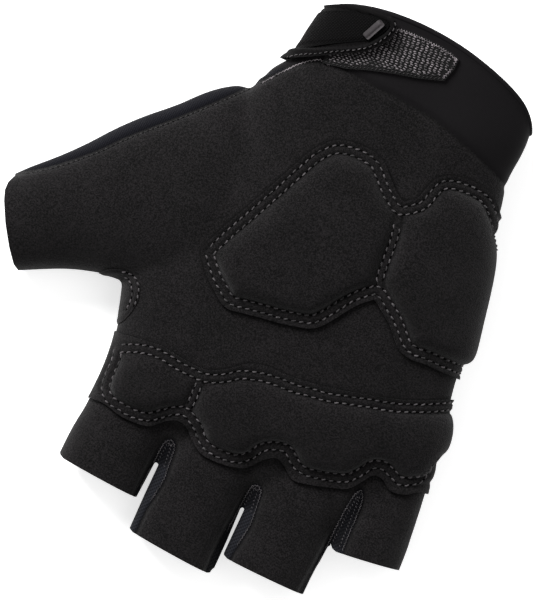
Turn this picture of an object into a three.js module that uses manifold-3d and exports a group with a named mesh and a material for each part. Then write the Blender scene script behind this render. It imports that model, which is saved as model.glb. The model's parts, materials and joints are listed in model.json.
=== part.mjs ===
// A right-hand fingerless cycling glove lying on its back, palm up, with the wrist towards +Y
// and the thumb towards -X. Units are millimetres and the glove rests on the plane z = 0.
// The hand is a hollow form lofted through sections. Panels are cut out of its wall, and the
// pads, the strap and the patches are layers that follow its outside.

import * as THREE from 'three';
import { mergeVertices } from 'three/addons/utils/BufferGeometryUtils.js';
import Module from 'manifold-3d';

const wasm = await Module();
wasm.setup();

// Sheet thicknesses and the clearance between neighbouring pieces
const WALL = 1.5;
const OVERLAY_THICKNESS = 1.1;
const PATCH_THICKNESS = 0.9;
const STRAP_THICKNESS = 1.8;
const STRAP_FACE_THICKNESS = 0.5;
const TAB_THICKNESS = 0.8;
const BINDING_LAP = 0.6; // how far the binding stands out on each side of the cuff
const CLEARANCE = 0.3;

// Overall sizes of the hand form
const KNUCKLE_WIDTH = 100.7; // across the four fingers
const PALM_LENGTH = 135; // from the line of the finger crotches to the top of the cuff
const PALM_HEIGHT = 24;
const CUFF_LIFT = 5; // the wrist is held this far above the table by the palm
const SEAM_HEIGHT = 8; // where the palm and the back meet round the outside
const BINDING_WIDTH = 2.2;

// Fingers, from the thumb side to the little finger, in shares. before is the gap on the thumb's
// side and width the width, of KNUCKLE_WIDTH. reach is how far each edge runs past the crotch
// line, of FINGER_LENGTH. slack is how far each edge draws in towards the root, of the width.
const FINGER_LENGTH = 28.3;
const FINGER_HEIGHT = 16;
const FINGER_ROOT = 24; // how far a finger tube starts inside the palm
const TIP_LIFT = 1.5;
const FINGERS = [
  { before: 0, width: 0.254, reachLeft: 0.565, reachRight: 0.622, slackLeft: 0.05, slackRight: 0.02 },
  { before: 0.009, width: 0.261, reachLeft: 0.936, reachRight: 1, slackLeft: 0.02, slackRight: 0.02 },
  { before: 0.009, width: 0.256, reachLeft: 0.784, reachRight: 0.795, slackLeft: 0.02, slackRight: 0.02 },
  { before: 0.009, width: 0.202, reachLeft: 0.276, reachRight: 0.173, slackLeft: 0.025, slackRight: 0.167 },
];

// Thumb tube: its axis starts at THUMB_ROOT, in shares of the palm, and runs at an angle from -Y
const THUMB_LENGTH = 60;
const THUMB_WIDTH = 26.2;
const THUMB_HEIGHT = 19;
const THUMB_ANGLE = 58.4;
const THUMB_ROOT = [0.117, 0.507];

// Webs close the glove between two fingers, in shares of WEB_LENGTH. reach is how far the crotch
// lies past the crotch line, and head is the length of the gusset from there to its round head.
// WEB_LAP is how far a web runs in under each finger, as a share of the finger's width.
const WEB_LENGTH = 22;
const WEB_LAP = 0.3;
const WEBS = [
  { name: 'index_middle', reach: 0.295, head: 0.373 },
  { name: 'middle_ring', reach: 0.341, head: 0.364 },
  { name: 'ring_little', reach: 0.314, head: 0.841 },
];

// Gussets show this far over the edges of the fingers on either side of a gap
const GUSSET_OVER_LEFT = 1.0;
const GUSSET_OVER_RIGHT = 3.8;

// Overlays: SEAM_MARGIN is from the middle of a double seam to the cut edge. A pad rises in two
// steps inside its seam, in shares of PAD_SLOPE and PAD_RISE.
const SEAM_MARGIN = 2.6;
const PAD_SLOPE = 4;
const PAD_RISE = 2;
const PAD_LEVELS = [
  { inset: 0.45, rise: 0.55 },
  { inset: 1, rise: 1 },
];

// Rubber tab at the end of the strap
const TAB_LENGTH = 6.3;
const TAB_WIDTH = 2.3;
const TAB_ANGLE = 66;

// Plan positions are shares: across runs from 0 at the outer edge of the index finger to 1 at
// the outer edge of the little finger, and along runs from 0 at the crotch line to 1 at the rim
const v2 = (x, y) => new THREE.Vector2(x, y);
const plan = ([across, along]) => v2(across * KNUCKLE_WIDTH, along * PALM_LENGTH);

// Sections of the palm and the wrist. The last finger-side rows slant towards the little finger.
// left and right are shares across, crest is a share of PALM_HEIGHT and lift of CUFF_LIFT.
const PALM_SECTIONS = [
  { alongLeft: 0.03, alongRight: 0.1, left: 0.015, right: 0.975, lift: 0, crest: 0.7 },
  { alongLeft: 0.085, alongRight: 0.14, left: 0.014, right: 0.97, lift: 0, crest: 0.78 },
  { alongLeft: 0.15, alongRight: 0.18, left: 0.004, right: 0.966, lift: 0, crest: 0.85 },
  { alongLeft: 0.22, alongRight: 0.22, left: -0.018, right: 0.957, lift: 0, crest: 0.9 },
  { alongLeft: 0.265, alongRight: 0.265, left: -0.034, right: 0.946, lift: 0, crest: 0.92 },
  { alongLeft: 0.34, alongRight: 0.34, left: -0.034, right: 0.926, lift: 0, crest: 0.95 },
  { alongLeft: 0.42, alongRight: 0.42, left: -0.02, right: 0.909, lift: 0, crest: 0.98 },
  { alongLeft: 0.5, alongRight: 0.5, left: 0.005, right: 0.887, lift: 0, crest: 1 },
  { alongLeft: 0.58, alongRight: 0.58, left: 0.025, right: 0.863, lift: 0, crest: 1 },
  { alongLeft: 0.66, alongRight: 0.66, left: 0.045, right: 0.843, lift: 0, crest: 1 },
  { alongLeft: 0.73, alongRight: 0.73, left: 0.05, right: 0.831, lift: 0.15, crest: 1 },
  { alongLeft: 0.79, alongRight: 0.79, left: 0.08, right: 0.814, lift: 0.6, crest: 1.03 },
  { alongLeft: 0.85, alongRight: 0.85, left: 0.138, right: 0.816, lift: 0.95, crest: 1.07 },
  { alongLeft: 0.92, alongRight: 0.92, left: 0.158, right: 0.808, lift: 1, crest: 1.1 },
  { alongLeft: 1, alongRight: 1, left: 0.178, right: 0.796, lift: 1, crest: 1.12 },
  { alongLeft: 1.06, alongRight: 1.06, left: 0.188, right: 0.786, lift: 1, crest: 1.12 },
];

// Sections of the thumb, in shares of its length, width and height. outer is the side away
// from the index finger.
const THUMB_SECTIONS = [
  { along: 1, outer: 0.5, inner: -0.5, lift: 1, crest: 1 },
  { along: 0.87, outer: 0.588, inner: -0.534, lift: 0.7, crest: 1.01 },
  { along: 0.73, outer: 0.664, inner: -0.573, lift: 0.4, crest: 1.03 },
  { along: 0.6, outer: 0.763, inner: -0.649, lift: 0.25, crest: 1.06 },
  { along: 0.47, outer: 0.878, inner: -0.76, lift: 0.2, crest: 1.1 },
  { along: 0.33, outer: 0.972, inner: -0.86, lift: 0.18, crest: 1.15 },
  { along: 0.17, outer: 1.055, inner: -0.9, lift: 0.16, crest: 1.18 },
  { along: 0, outer: 1.17, inner: -0.85, lift: 0.18, crest: 1.15 },
  { along: -0.15, outer: 1.19, inner: -0.6, lift: 0.2, crest: 1.0 },
  { along: -0.24, outer: 1.05, inner: -0.4, lift: 0.6, crest: 0.8 },
];

// Sections of a finger, in shares of its length from root to tip, its slack and its height
const FINGER_SECTIONS = [
  { along: 0, slackLeft: 1, slackRight: 1, lift: 0.2, crest: 0.95 },
  { along: 0.4, slackLeft: 1, slackRight: 0.45, lift: 0.15, crest: 1 },
  { along: 0.56, slackLeft: 0.8, slackRight: 0.25, lift: 0.2, crest: 1 },
  { along: 0.72, slackLeft: 0.2, slackRight: 0.1, lift: 0.4, crest: 1 },
  { along: 1, slackLeft: 0, slackRight: 0, lift: 1, crest: 0.98 },
];

// Sections of a web, in shares of its length and of the height of the fingers beside it
const WEB_SECTIONS = [
  { along: 0, lift: 0.04, crest: 1.05 },
  { along: 0.3, lift: 0.03, crest: 0.98 },
  { along: 0.55, lift: 0.06, crest: 0.85 },
  { along: 0.8, lift: 0.12, crest: 0.72 },
  { along: 1, lift: 0.2, crest: 0.62 },
];

// Plan outlines and seam lines, as [across, along] shares
const RIM_LINE = [
  [-0.1, 0.87], [0.08, 0.925], [0.143, 0.952], [0.205, 0.978], [0.3, 0.996], [0.415, 1.002],
  [0.53, 0.996], [0.642, 0.978], [0.729, 0.956], [0.779, 0.933], [0.812, 0.9], [0.84, 0.84],
];
const CUFF_LINE = [
  [-0.2, 0.735], [-0.02, 0.745], [0.055, 0.768], [0.152, 0.824], [0.223, 0.852], [0.389, 0.846],
  [0.539, 0.838], [0.66, 0.815], [0.808, 0.779], [0.95, 0.72],
];
const THUMB_SEAM_LINE = [
  [-0.47, 0.36], [-0.363, 0.411], [-0.26, 0.483], [-0.197, 0.538], [-0.114, 0.602],
  [-0.016, 0.681], [0.058, 0.747], [0.12, 0.8],
];
const THENAR_SEAM = [
  [0.148, 0.394], [0.21, 0.501], [0.276, 0.613], [0.303, 0.658], [0.33, 0.686],
  [0.356, 0.699], [0.403, 0.706], [0.454, 0.701], [0.485, 0.683], [0.516, 0.661],
  [0.575, 0.637], [0.594, 0.56], [0.602, 0.498], [0.613, 0.47], [0.586, 0.457],
  [0.532, 0.409], [0.51, 0.383], [0.483, 0.36], [0.398, 0.342], [0.291, 0.328],
  [0.254, 0.325], [0.2, 0.352],
];
const HYPOTHENAR_SEAM = [
  [0.575, 0.637], [0.607, 0.652], [0.629, 0.671], [0.648, 0.716], [0.671, 0.729],
  [0.708, 0.735], [0.746, 0.735], [0.781, 0.728], [0.823, 0.701], [0.881, 0.661],
  [1.04, 0.61], [1.04, 0.43], [0.94, 0.394], [0.814, 0.392], [0.775, 0.389],
  [0.746, 0.395], [0.697, 0.43], [0.665, 0.447], [0.613, 0.47], [0.602, 0.498],
  [0.594, 0.56],
];
const KNUCKLE_OUTLINE = [
  [-0.06, 0.02], [0.051, 0.02], [0.115, 0.011], [0.174, 0.012], [0.204, 0.019],
  [0.237, 0.042], [0.266, 0.052], [0.293, 0.047], [0.323, 0.027], [0.363, 0.01],
  [0.422, 0.009], [0.476, 0.017], [0.502, 0.032], [0.524, 0.053], [0.555, 0.068],
  [0.583, 0.06], [0.619, 0.042], [0.658, 0.045], [0.73, 0.061], [0.77, 0.073],
  [0.796, 0.097], [0.816, 0.119], [0.845, 0.121], [0.878, 0.106], [0.921, 0.112],
  [0.958, 0.129], [1.06, 0.16], [1.06, 0.34], [0.936, 0.332], [0.859, 0.305],
  [0.79, 0.284], [0.707, 0.266], [0.623, 0.25], [0.548, 0.239], [0.481, 0.233],
  [0.423, 0.232], [0.372, 0.22], [0.325, 0.192], [0.273, 0.172], [0.202, 0.173],
  [0.14, 0.178], [0.084, 0.173], [0.02, 0.165], [-0.06, 0.15],
];
const SMALL_PAD_SEAM = [
  [0.039, 0.143], [0.084, 0.155], [0.14, 0.16], [0.202, 0.155], [0.268, 0.15],
  [0.278, 0.107], [0.28, 0.07], [0.251, 0.067], [0.219, 0.052], [0.185, 0.031],
  [0.147, 0.027], [0.104, 0.029], [0.06, 0.034], [0.042, 0.06], [0.035, 0.1],
];
const LONG_PAD_SEAM = [
  [0.273, 0.154], [0.331, 0.174], [0.372, 0.202], [0.423, 0.214], [0.481, 0.215],
  [0.548, 0.221], [0.623, 0.232], [0.707, 0.248], [0.79, 0.266], [0.859, 0.287],
  [0.93, 0.3], [0.975, 0.25], [0.966, 0.172], [0.934, 0.147], [0.884, 0.134],
  [0.844, 0.142], [0.811, 0.148], [0.781, 0.129], [0.759, 0.099], [0.72, 0.077],
  [0.667, 0.067], [0.617, 0.072], [0.578, 0.089], [0.542, 0.09], [0.512, 0.071],
  [0.488, 0.045], [0.458, 0.025], [0.406, 0.025], [0.361, 0.031], [0.319, 0.052],
  [0.29, 0.067], [0.278, 0.107],
];
const THUMB_WEB_OUTLINE = [
  [-0.125, 0.21], [-0.105, 0.262], [-0.05, 0.286], [0.0, 0.28], [0.022, 0.25],
  [0.02, 0.215], [-0.002, 0.18], [-0.06, 0.16],
];
const LOOP_PATCH_CORNERS = [
  [0.2, 0.89], [0.29, 0.968], [0.362, 0.976], [0.417, 0.979], [0.475, 0.978], [0.519, 0.974],
  [0.545, 0.968], [0.545, 0.944], [0.533, 0.915], [0.468, 0.898], [0.405, 0.886],
  [0.338, 0.871], [0.272, 0.853], [0.21, 0.845],
];
const STRAP_OUTLINE = [
  [-0.05, 0.9], [0.04, 0.935], [0.13, 0.948], [0.21, 0.972], [0.29, 0.983], [0.335, 0.984],
  [0.355, 0.97], [0.345, 0.935], [0.3, 0.896], [0.225, 0.86], [0.1, 0.812], [-0.05, 0.78],
];
const STRAP_FACE_OUTLINE = [
  [-0.04, 0.888], [0.05, 0.915], [0.14, 0.938], [0.206, 0.96], [0.257, 0.97], [0.288, 0.973],
  [0.302, 0.962], [0.298, 0.94], [0.288, 0.92], [0.252, 0.905],
  [0.207, 0.886], [0.158, 0.862], [0.105, 0.829], [-0.04, 0.8],
];
// On the back the strap runs between two lines, up to where it is sewn to the cuff
const STRAP_BACK_TOP = [[-0.3, 0.925], [0.1, 0.935], [0.4, 0.945], [0.9, 0.945]];
const STRAP_BACK_BOTTOM = [[-0.3, 0.8], [0.1, 0.81], [0.4, 0.84], [0.9, 0.84]];
const STRAP_BACK_END = [0.36, 0.9];
const TAB_CENTRE = [0.2985, 0.947];

// Shapes of the sections. A crown exponent of 2 is an ellipse and more is squarer, and a corner
// is the radius where the side turns under. SEAM_SHARE is the widest level of a section.
const PALM_CROWN = 2.6;
const FINGER_CROWN = 2.3;
const THUMB_CROWN = 2.2;
const WEB_CROWN = 3;
const PALM_CORNER = 14;
const FINGER_CORNER = 6;
const THUMB_CORNER = 8;
const SEAM_SHARE = 0.42;
const CROWN_STEPS = 10;
const CORNER_STEPS = 2;

// A closed triangle mesh as a solid, and a solid as a geometry
function solidOf(geometry) {
  const bare = geometry.clone();
  bare.deleteAttribute('normal');
  bare.deleteAttribute('uv');
  const merged = mergeVertices(bare, 1e-4);
  return new wasm.Manifold(new wasm.Mesh({
    numProp: 3,
    vertProperties: new Float32Array(merged.attributes.position.array),
    triVerts: new Uint32Array(merged.index.array),
  }));
}

function geometryOf(solid) {
  const mesh = solid.getMesh();
  const geometry = new THREE.BufferGeometry();
  geometry.setAttribute('position', new THREE.BufferAttribute(mesh.vertProperties, 3));
  geometry.setIndex(new THREE.BufferAttribute(mesh.triVerts, 1));
  return geometry;
}

function union(solids) {
  return solids.reduce((whole, solid) => whole.add(solid));
}

// One closed section in the upright plane through a and b, as lateral and height pairs that
// start at b, go over the crown to a, and come back along the flat underside. grow moves the
// section's outline outwards, or inwards where it is negative.
function sectionProfile(halfWidth, bottom, top, crown, corner, grow) {
  const widest = bottom + (top - bottom) * SEAM_SHARE;
  const power = 2 / crown;
  const points = [];
  for (let i = 0; i <= CROWN_STEPS; i += 1) {
    const angle = (Math.PI * i) / CROWN_STEPS;
    const c = Math.cos(angle);
    const s = Math.max(Math.sin(angle), 0);
    points.push([halfWidth * Math.sign(c) * Math.abs(c) ** power, widest + (top - widest) * s ** power]);
  }
  const run = Math.min(corner, halfWidth * 0.9);
  const under = [];
  for (let i = 1; i <= CORNER_STEPS; i += 1) {
    const turn = (Math.PI / 2) * (i / CORNER_STEPS);
    under.push([halfWidth - run + run * Math.cos(turn), widest - (widest - bottom) * Math.sin(turn)]);
  }
  points.push(...under.map(([x, z]) => [-x, z]), ...under.reverse());
  return points.map(([x, z], i) => {
    const before = points[(i + points.length - 1) % points.length];
    const after = points[(i + 1) % points.length];
    const normal = v2(after[1] - before[1], before[0] - after[0]).normalize();
    return [x + normal.x * grow, z + normal.y * grow];
  });
}

function centreOf({ a, b }) {
  return a.clone().add(b).multiplyScalar(0.5);
}

// A tube through sections, closed at both ends. grow moves the sides and both ends outwards.
// The sections are taken in the order that makes the walls face outwards.
function tube(rows, crown, corner, grow) {
  const last = rows.length - 1;
  const run = centreOf(rows[last]).sub(centreOf(rows[0]));
  const ahead = rows[0].b.clone().sub(rows[0].a).cross(run) > 0;
  const sections = ahead ? rows : [...rows].reverse();
  const rings = sections.map((section, r) => {
    const { a, b, bottom, top } = section;
    const inside = { 0: 1, [last]: last - 1 }[r] ?? r;
    const outward = centreOf(section).sub(centreOf(sections[inside])).normalize();
    const centre = centreOf(section).addScaledVector(outward, grow);
    const across = b.clone().sub(a).normalize();
    const halfWidth = a.distanceTo(b) / 2;
    return sectionProfile(halfWidth, bottom, top, crown, corner, grow)
      .map(([x, z]) => [centre.x + across.x * x, centre.y + across.y * x, z]);
  });
  const count = rings[0].length;
  const positions = rings.flat(2);
  const index = [];
  for (let r = 0; r < last; r += 1) {
    for (let i = 0; i < count; i += 1) {
      const p = r * count + i;
      const q = r * count + (i + 1) % count;
      index.push(p, p + count, q, q, p + count, q + count);
    }
  }
  for (const r of [0, last]) {
    const hub = positions.length / 3;
    const sum = rings[r].reduce((total, p) => total.map((value, k) => value + p[k]));
    positions.push(...sum.map((value) => value / count));
    for (let i = 0; i < count; i += 1) {
      const p = r * count + i;
      const q = r * count + (i + 1) % count;
      index.push(hub, ...(r === 0 ? [p, q] : [q, p]));
    }
  }
  const geometry = new THREE.BufferGeometry();
  geometry.setAttribute('position', new THREE.Float32BufferAttribute(positions, 3));
  geometry.setIndex(index);
  return solidOf(geometry);
}

function palmTube(grow) {
  const sections = PALM_SECTIONS.map((row) => ({
    a: plan([row.left, row.alongLeft]),
    b: plan([row.right, row.alongRight]),
    bottom: row.lift * CUFF_LIFT,
    top: row.crest * PALM_HEIGHT,
  }));
  return tube(sections, PALM_CROWN, PALM_CORNER, grow);
}

// Where each finger lies: its edges across the hand and the ends of its two edges
let reached = 0;
const FINGER_PLACES = FINGERS.map((row) => {
  const left = reached + row.before * KNUCKLE_WIDTH;
  const width = row.width * KNUCKLE_WIDTH;
  reached = left + width;
  return {
    left,
    right: left + width,
    width,
    tipLeft: -row.reachLeft * FINGER_LENGTH,
    tipRight: -row.reachRight * FINGER_LENGTH,
    slackLeft: row.slackLeft * width,
    slackRight: row.slackRight * width,
  };
});

// Every wall is cut off flush with the openings, so the hollow runs on by this much
const OPENING_OVERRUN = 4;

function fingerTube(place, grow, overrun) {
  const edgeY = (tip, along) => FINGER_ROOT + (tip - overrun - FINGER_ROOT) * along;
  const sections = FINGER_SECTIONS.map(({ along, slackLeft, slackRight, lift, crest }) => ({
    a: v2(place.left + place.slackLeft * slackLeft, edgeY(place.tipLeft, along)),
    b: v2(place.right - place.slackRight * slackRight, edgeY(place.tipRight, along)),
    bottom: lift * TIP_LIFT,
    top: lift * TIP_LIFT + crest * FINGER_HEIGHT,
  }));
  return tube(sections, FINGER_CROWN, FINGER_CORNER, grow);
}

const thumbTurn = THREE.MathUtils.degToRad(THUMB_ANGLE);
const thumbAxis = v2(-Math.sin(thumbTurn), -Math.cos(thumbTurn));
const thumbSide = v2(thumbAxis.y, -thumbAxis.x);

function thumbTube(grow, overrun) {
  const point = (along, side) => plan(THUMB_ROOT)
    .addScaledVector(thumbAxis, along * THUMB_LENGTH)
    .addScaledVector(thumbSide, side * THUMB_WIDTH);
  const sections = THUMB_SECTIONS.map((row, i) => {
    const along = row.along + (i === 0 ? overrun / THUMB_LENGTH : 0);
    return {
      a: point(along, row.outer),
      b: point(along, row.inner),
      bottom: row.lift * TIP_LIFT,
      top: row.crest * THUMB_HEIGHT,
    };
  });
  return tube(sections, THUMB_CROWN, THUMB_CORNER, grow);
}

function webTube(i, grow) {
  const [thumbward, littleward] = [FINGER_PLACES[i], FINGER_PLACES[i + 1]];
  const left = thumbward.right - thumbward.width * WEB_LAP;
  const right = littleward.left + littleward.width * WEB_LAP;
  const sections = WEB_SECTIONS.map((row) => {
    const y = WEB_LENGTH * (1 - row.along - WEBS[i].reach);
    return {
      a: v2(left, y),
      b: v2(right, y),
      bottom: row.lift * FINGER_HEIGHT,
      top: row.crest * FINGER_HEIGHT,
    };
  });
  return tube(sections, WEB_CROWN, FINGER_CORNER, grow);
}

// The whole hand, moved outwards by grow
function handForm(grow, overrun = 0) {
  return union([
    palmTube(grow),
    thumbTube(grow, overrun),
    ...FINGER_PLACES.map((place) => fingerTube(place, grow, overrun)),
    ...WEBS.map((_, i) => webTube(i, grow)),
  ]);
}

// Plan curves and the upright prisms over closed outlines. FAR and DEEP are beyond the glove.
const FAR = 400;
const DEEP = 150;

function curveThrough(shares, perSpan = 2) {
  return new THREE.SplineCurve(shares.map(plan)).getPoints((shares.length - 1) * perSpan);
}

function loopThrough(shares, perSpan = 1) {
  const corners = shares.map(plan).map((p) => new THREE.Vector3(p.x, p.y, 0));
  const loop = new THREE.CatmullRomCurve3(corners, true);
  return loop.getPoints(corners.length * perSpan).slice(0, -1).map((p) => v2(p.x, p.y));
}

function distanceToLoop(point, loop) {
  return Math.min(...loop.map((p, i) => {
    const side = loop[(i + 1) % loop.length].clone().sub(p);
    const reach = point.clone().sub(p);
    const share = THREE.MathUtils.clamp(reach.dot(side) / side.lengthSq(), 0, 1);
    return reach.addScaledVector(side, -share).length();
  }));
}

function edgeNormal(from, to) {
  return v2(to.y - from.y, from.x - to.x).normalize();
}

// The loop moved outwards by a distance, without the points that would fold over at a corner
function offsetLoop(points, distance) {
  const sense = THREE.ShapeUtils.area(points) > 0 ? 1 : -1;
  const moved = points.map((p, i) => {
    const before = edgeNormal(points[(i + points.length - 1) % points.length], p);
    const after = edgeNormal(p, points[(i + 1) % points.length]);
    const mitre = before.clone().add(after).normalize();
    const stretch = 1 / Math.max(mitre.dot(after), 0.5);
    return p.clone().addScaledVector(mitre, sense * distance * stretch);
  });
  return moved.filter((p) => distanceToLoop(p, points) > Math.abs(distance) * 0.97);
}

function prism(points, bottom = -DEEP, top = DEEP) {
  const shape = new THREE.Shape(points);
  const geometry = new THREE.ExtrudeGeometry(shape, { depth: top - bottom, bevelEnabled: false });
  return solidOf(geometry.translate(0, 0, bottom));
}

// Everything left of a position across the hand, and everything between two heights
function leftOf(x, bottom, top) {
  return prism([v2(-FAR, -FAR), v2(x, -FAR), v2(x, FAR), v2(-FAR, FAR)], bottom, top);
}

function between(bottom, top) {
  return leftOf(FAR, bottom, top);
}

function shifted(points, x, y) {
  return points.map((p) => v2(p.x + x, p.y + y));
}

// Everything on the finger side of a line that runs from left to right
function below(line, shift = 0) {
  const moved = shifted(line, 0, shift);
  const end = moved[moved.length - 1];
  return prism([v2(-FAR, -FAR), v2(FAR, -FAR), v2(FAR, end.y), ...moved.reverse(),
    v2(-FAR, line[0].y + shift)]);
}

const upper = between(SEAM_HEIGHT + CLEARANCE / 2, DEEP);
const lower = between(-DEEP, SEAM_HEIGHT - CLEARANCE / 2);

// The wall of the whole glove, trimmed at the rim
const rimLine = curveThrough(RIM_LINE);
const outer = handForm(0);
const inner = handForm(-WALL, OPENING_OVERRUN);
const belowRim = below(rimLine);
const wall = outer.subtract(inner).intersect(belowRim);

// The gusset between two fingers: a strip with a round head, open at the fingertips
function gussetOutline(i, extra = 0) {
  const left = FINGER_PLACES[i].right - GUSSET_OVER_LEFT - extra;
  const right = FINGER_PLACES[i + 1].left + GUSSET_OVER_RIGHT + extra;
  const head = WEB_LENGTH * (WEBS[i].head - WEBS[i].reach) + extra;
  const radius = (right - left) / 2;
  const arc = new THREE.EllipseCurve(left + radius, head - radius, radius, radius, 0, Math.PI);
  return [v2(left, -FAR), v2(right, -FAR), ...arc.getPoints(8)];
}

const gussetSolids = WEBS.map((_, i) => wall.intersect(prism(gussetOutline(i))));
const gussetRoom = union(WEBS.map((_, i) => prism(gussetOutline(i, CLEARANCE))));

// The cuff, and the binding that laps over its edge on both sides
const cuffLine = curveThrough(CUFF_LINE);
const cuffSolid = wall.subtract(below(cuffLine)).intersect(below(rimLine, -BINDING_WIDTH - CLEARANCE));
const bindingSolid = palmTube(BINDING_LAP).subtract(palmTube(-WALL - BINDING_LAP))
  .intersect(belowRim)
  .subtract(below(rimLine, -BINDING_WIDTH));

// The palm takes the upper half of the wall up to the thumb's seam, and the back takes the rest
const thumbSeam = curveThrough(THUMB_SEAM_LINE);

function outsideThumbSeam(shift) {
  const line = shifted(thumbSeam, shift * thumbAxis.y, -shift * thumbAxis.x);
  const end = line[line.length - 1];
  return prism([...line, v2(end.x, FAR), v2(-FAR, FAR), v2(-FAR, line[0].y)]);
}

const body = wall.intersect(below(cuffLine, -CLEARANCE)).subtract(gussetRoom);
const palmSolid = body.intersect(upper).subtract(outsideThumbSeam(-CLEARANCE));
const backSolid = body.intersect(lower).add(body.intersect(outsideThumbSeam(0)));

// The outside of the glove at a distance, and a layer between two such distances
const grownForms = new Map();

function grownForm(distance) {
  const key = distance.toFixed(3);
  if (!grownForms.has(key)) grownForms.set(key, handForm(distance));
  return grownForms.get(key);
}

function layer(from, to, outline) {
  return grownForm(to).intersect(outline).subtract(grownForm(from));
}

// Overlays: a flat flange of leather with foam-filled pads inside its seams
function padded(flange, seams) {
  const base = CLEARANCE + OVERLAY_THICKNESS;
  const domes = seams.flatMap((seam) => PAD_LEVELS.map(({ inset, rise }) => (
    grownForm(base + rise * PAD_RISE).intersect(prism(offsetLoop(seam, -inset * PAD_SLOPE))))));
  return union([grownForm(base).intersect(flange), ...domes])
    .subtract(grownForm(CLEARANCE))
    .intersect(upper);
}

const heelSeams = [loopThrough(THENAR_SEAM), loopThrough(HYPOTHENAR_SEAM)];
const heelFlange = union(heelSeams.map((seam) => prism(offsetLoop(seam, SEAM_MARGIN))));
const heelSolid = padded(heelFlange, heelSeams);
const knuckleSeams = [loopThrough(SMALL_PAD_SEAM), loopThrough(LONG_PAD_SEAM)];
const knuckleSolid = padded(prism(loopThrough(KNUCKLE_OUTLINE)), knuckleSeams);

// The patch that wraps the crotch between the thumb and the palm
const patchTop = CLEARANCE + PATCH_THICKNESS;
const webPatchSolid = layer(CLEARANCE, patchTop, prism(loopThrough(THUMB_WEB_OUTLINE, 2)));

// The wrist fastening: a loop patch on the cuff, and a strap that wraps over it from the back
const loopPatchSolid = layer(CLEARANCE, patchTop, prism(LOOP_PATCH_CORNERS.map(plan))).intersect(upper);
const strapFrom = patchTop + CLEARANCE;
const strapTo = strapFrom + STRAP_THICKNESS;
const strapTurn = (PALM_HEIGHT + CUFF_LIFT) / 2; // the level where the strap turns onto the back
const strapFront = prism(loopThrough(STRAP_OUTLINE, 2), strapTurn);
const strapBack = leftOf(plan(STRAP_BACK_END).x, -DEEP, strapTurn + CLEARANCE)
  .intersect(below(curveThrough(STRAP_BACK_TOP)))
  .subtract(below(curveThrough(STRAP_BACK_BOTTOM)));
const strapSolid = layer(strapFrom, strapTo, strapFront.add(strapBack));

// The strap's face and its rubber tab lie on the strap
const faceFrom = strapTo + CLEARANCE;
const tabTurn = THREE.MathUtils.degToRad(TAB_ANGLE);
const tabOutline = [[-1, -1], [1, -1], [1, 1], [-1, 1]].map(([x, y]) => (
  v2((x * TAB_LENGTH) / 2, (y * TAB_WIDTH) / 2).rotateAround(v2(0, 0), tabTurn).add(plan(TAB_CENTRE))));
const tabSolid = layer(faceFrom, faceFrom + TAB_THICKNESS, prism(tabOutline, strapTurn));
const faceOutline = prism(loopThrough(STRAP_FACE_OUTLINE, 2), strapTurn)
  .subtract(prism(offsetLoop(tabOutline, CLEARANCE)));
const faceSolid = layer(faceFrom, faceFrom + STRAP_FACE_THICKNESS, faceOutline);

// Materials
const suede = { color: 0x1d1b1b, roughness: 0.95, metalness: 0 };
const knit = { color: 0x14151c, roughness: 0.9, metalness: 0 };
const cuffCloth = { color: 0x15151b, roughness: 0.85, metalness: 0 };
const mesh = { color: 0x33343a, roughness: 0.75, metalness: 0 };
const strapCloth = { color: 0x161617, roughness: 0.7, metalness: 0 };
const rubber = { color: 0x3a3a40, roughness: 0.5, metalness: 0 };

const pieces = [
  ['palm_panel', palmSolid, suede],
  ['back_panel', backSolid, knit],
  ...WEBS.map(({ name }, i) => [`gusset_${name}`, gussetSolids[i], knit]),
  ['thumb_web_patch', webPatchSolid, suede],
  ['heel_pad_overlay', heelSolid, suede],
  ['knuckle_pad_overlay', knuckleSolid, suede],
  ['cuff', cuffSolid, cuffCloth],
  ['cuff_binding', bindingSolid, cuffCloth],
  ['loop_patch', loopPatchSolid, mesh],
  ['wrist_strap', strapSolid, strapCloth],
  ['strap_face', faceSolid, strapCloth],
  ['strap_tab', tabSolid, rubber],
];

// The finished glove is centred over the origin
const boxes = pieces.map(([, solid]) => solid.boundingBox());
const middle = [0, 1].map((axis) => (
  Math.min(...boxes.map(({ min }) => min[axis])) + Math.max(...boxes.map(({ max }) => max[axis]))) / 2);
const glove = new THREE.Group();
for (const [name, solid, material] of pieces) {
  const geometry = geometryOf(solid).translate(-middle[0], -middle[1], 0);
  const piece = new THREE.Mesh(geometry, new THREE.MeshStandardMaterial(material));
  piece.name = name;
  glove.add(piece);
}

export default glove;
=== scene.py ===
# A right-hand fingerless cycling glove that lies on its back with the palm up, the wrist towards
# +Y and the thumb towards -X. Lengths are in millimetres in the frame of the solids, and every
# mesh turns them into metres as it is made.

import json
import math

import bmesh
import bpy
import numpy as np
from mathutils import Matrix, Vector
from mathutils.bvhtree import BVHTree

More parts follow.
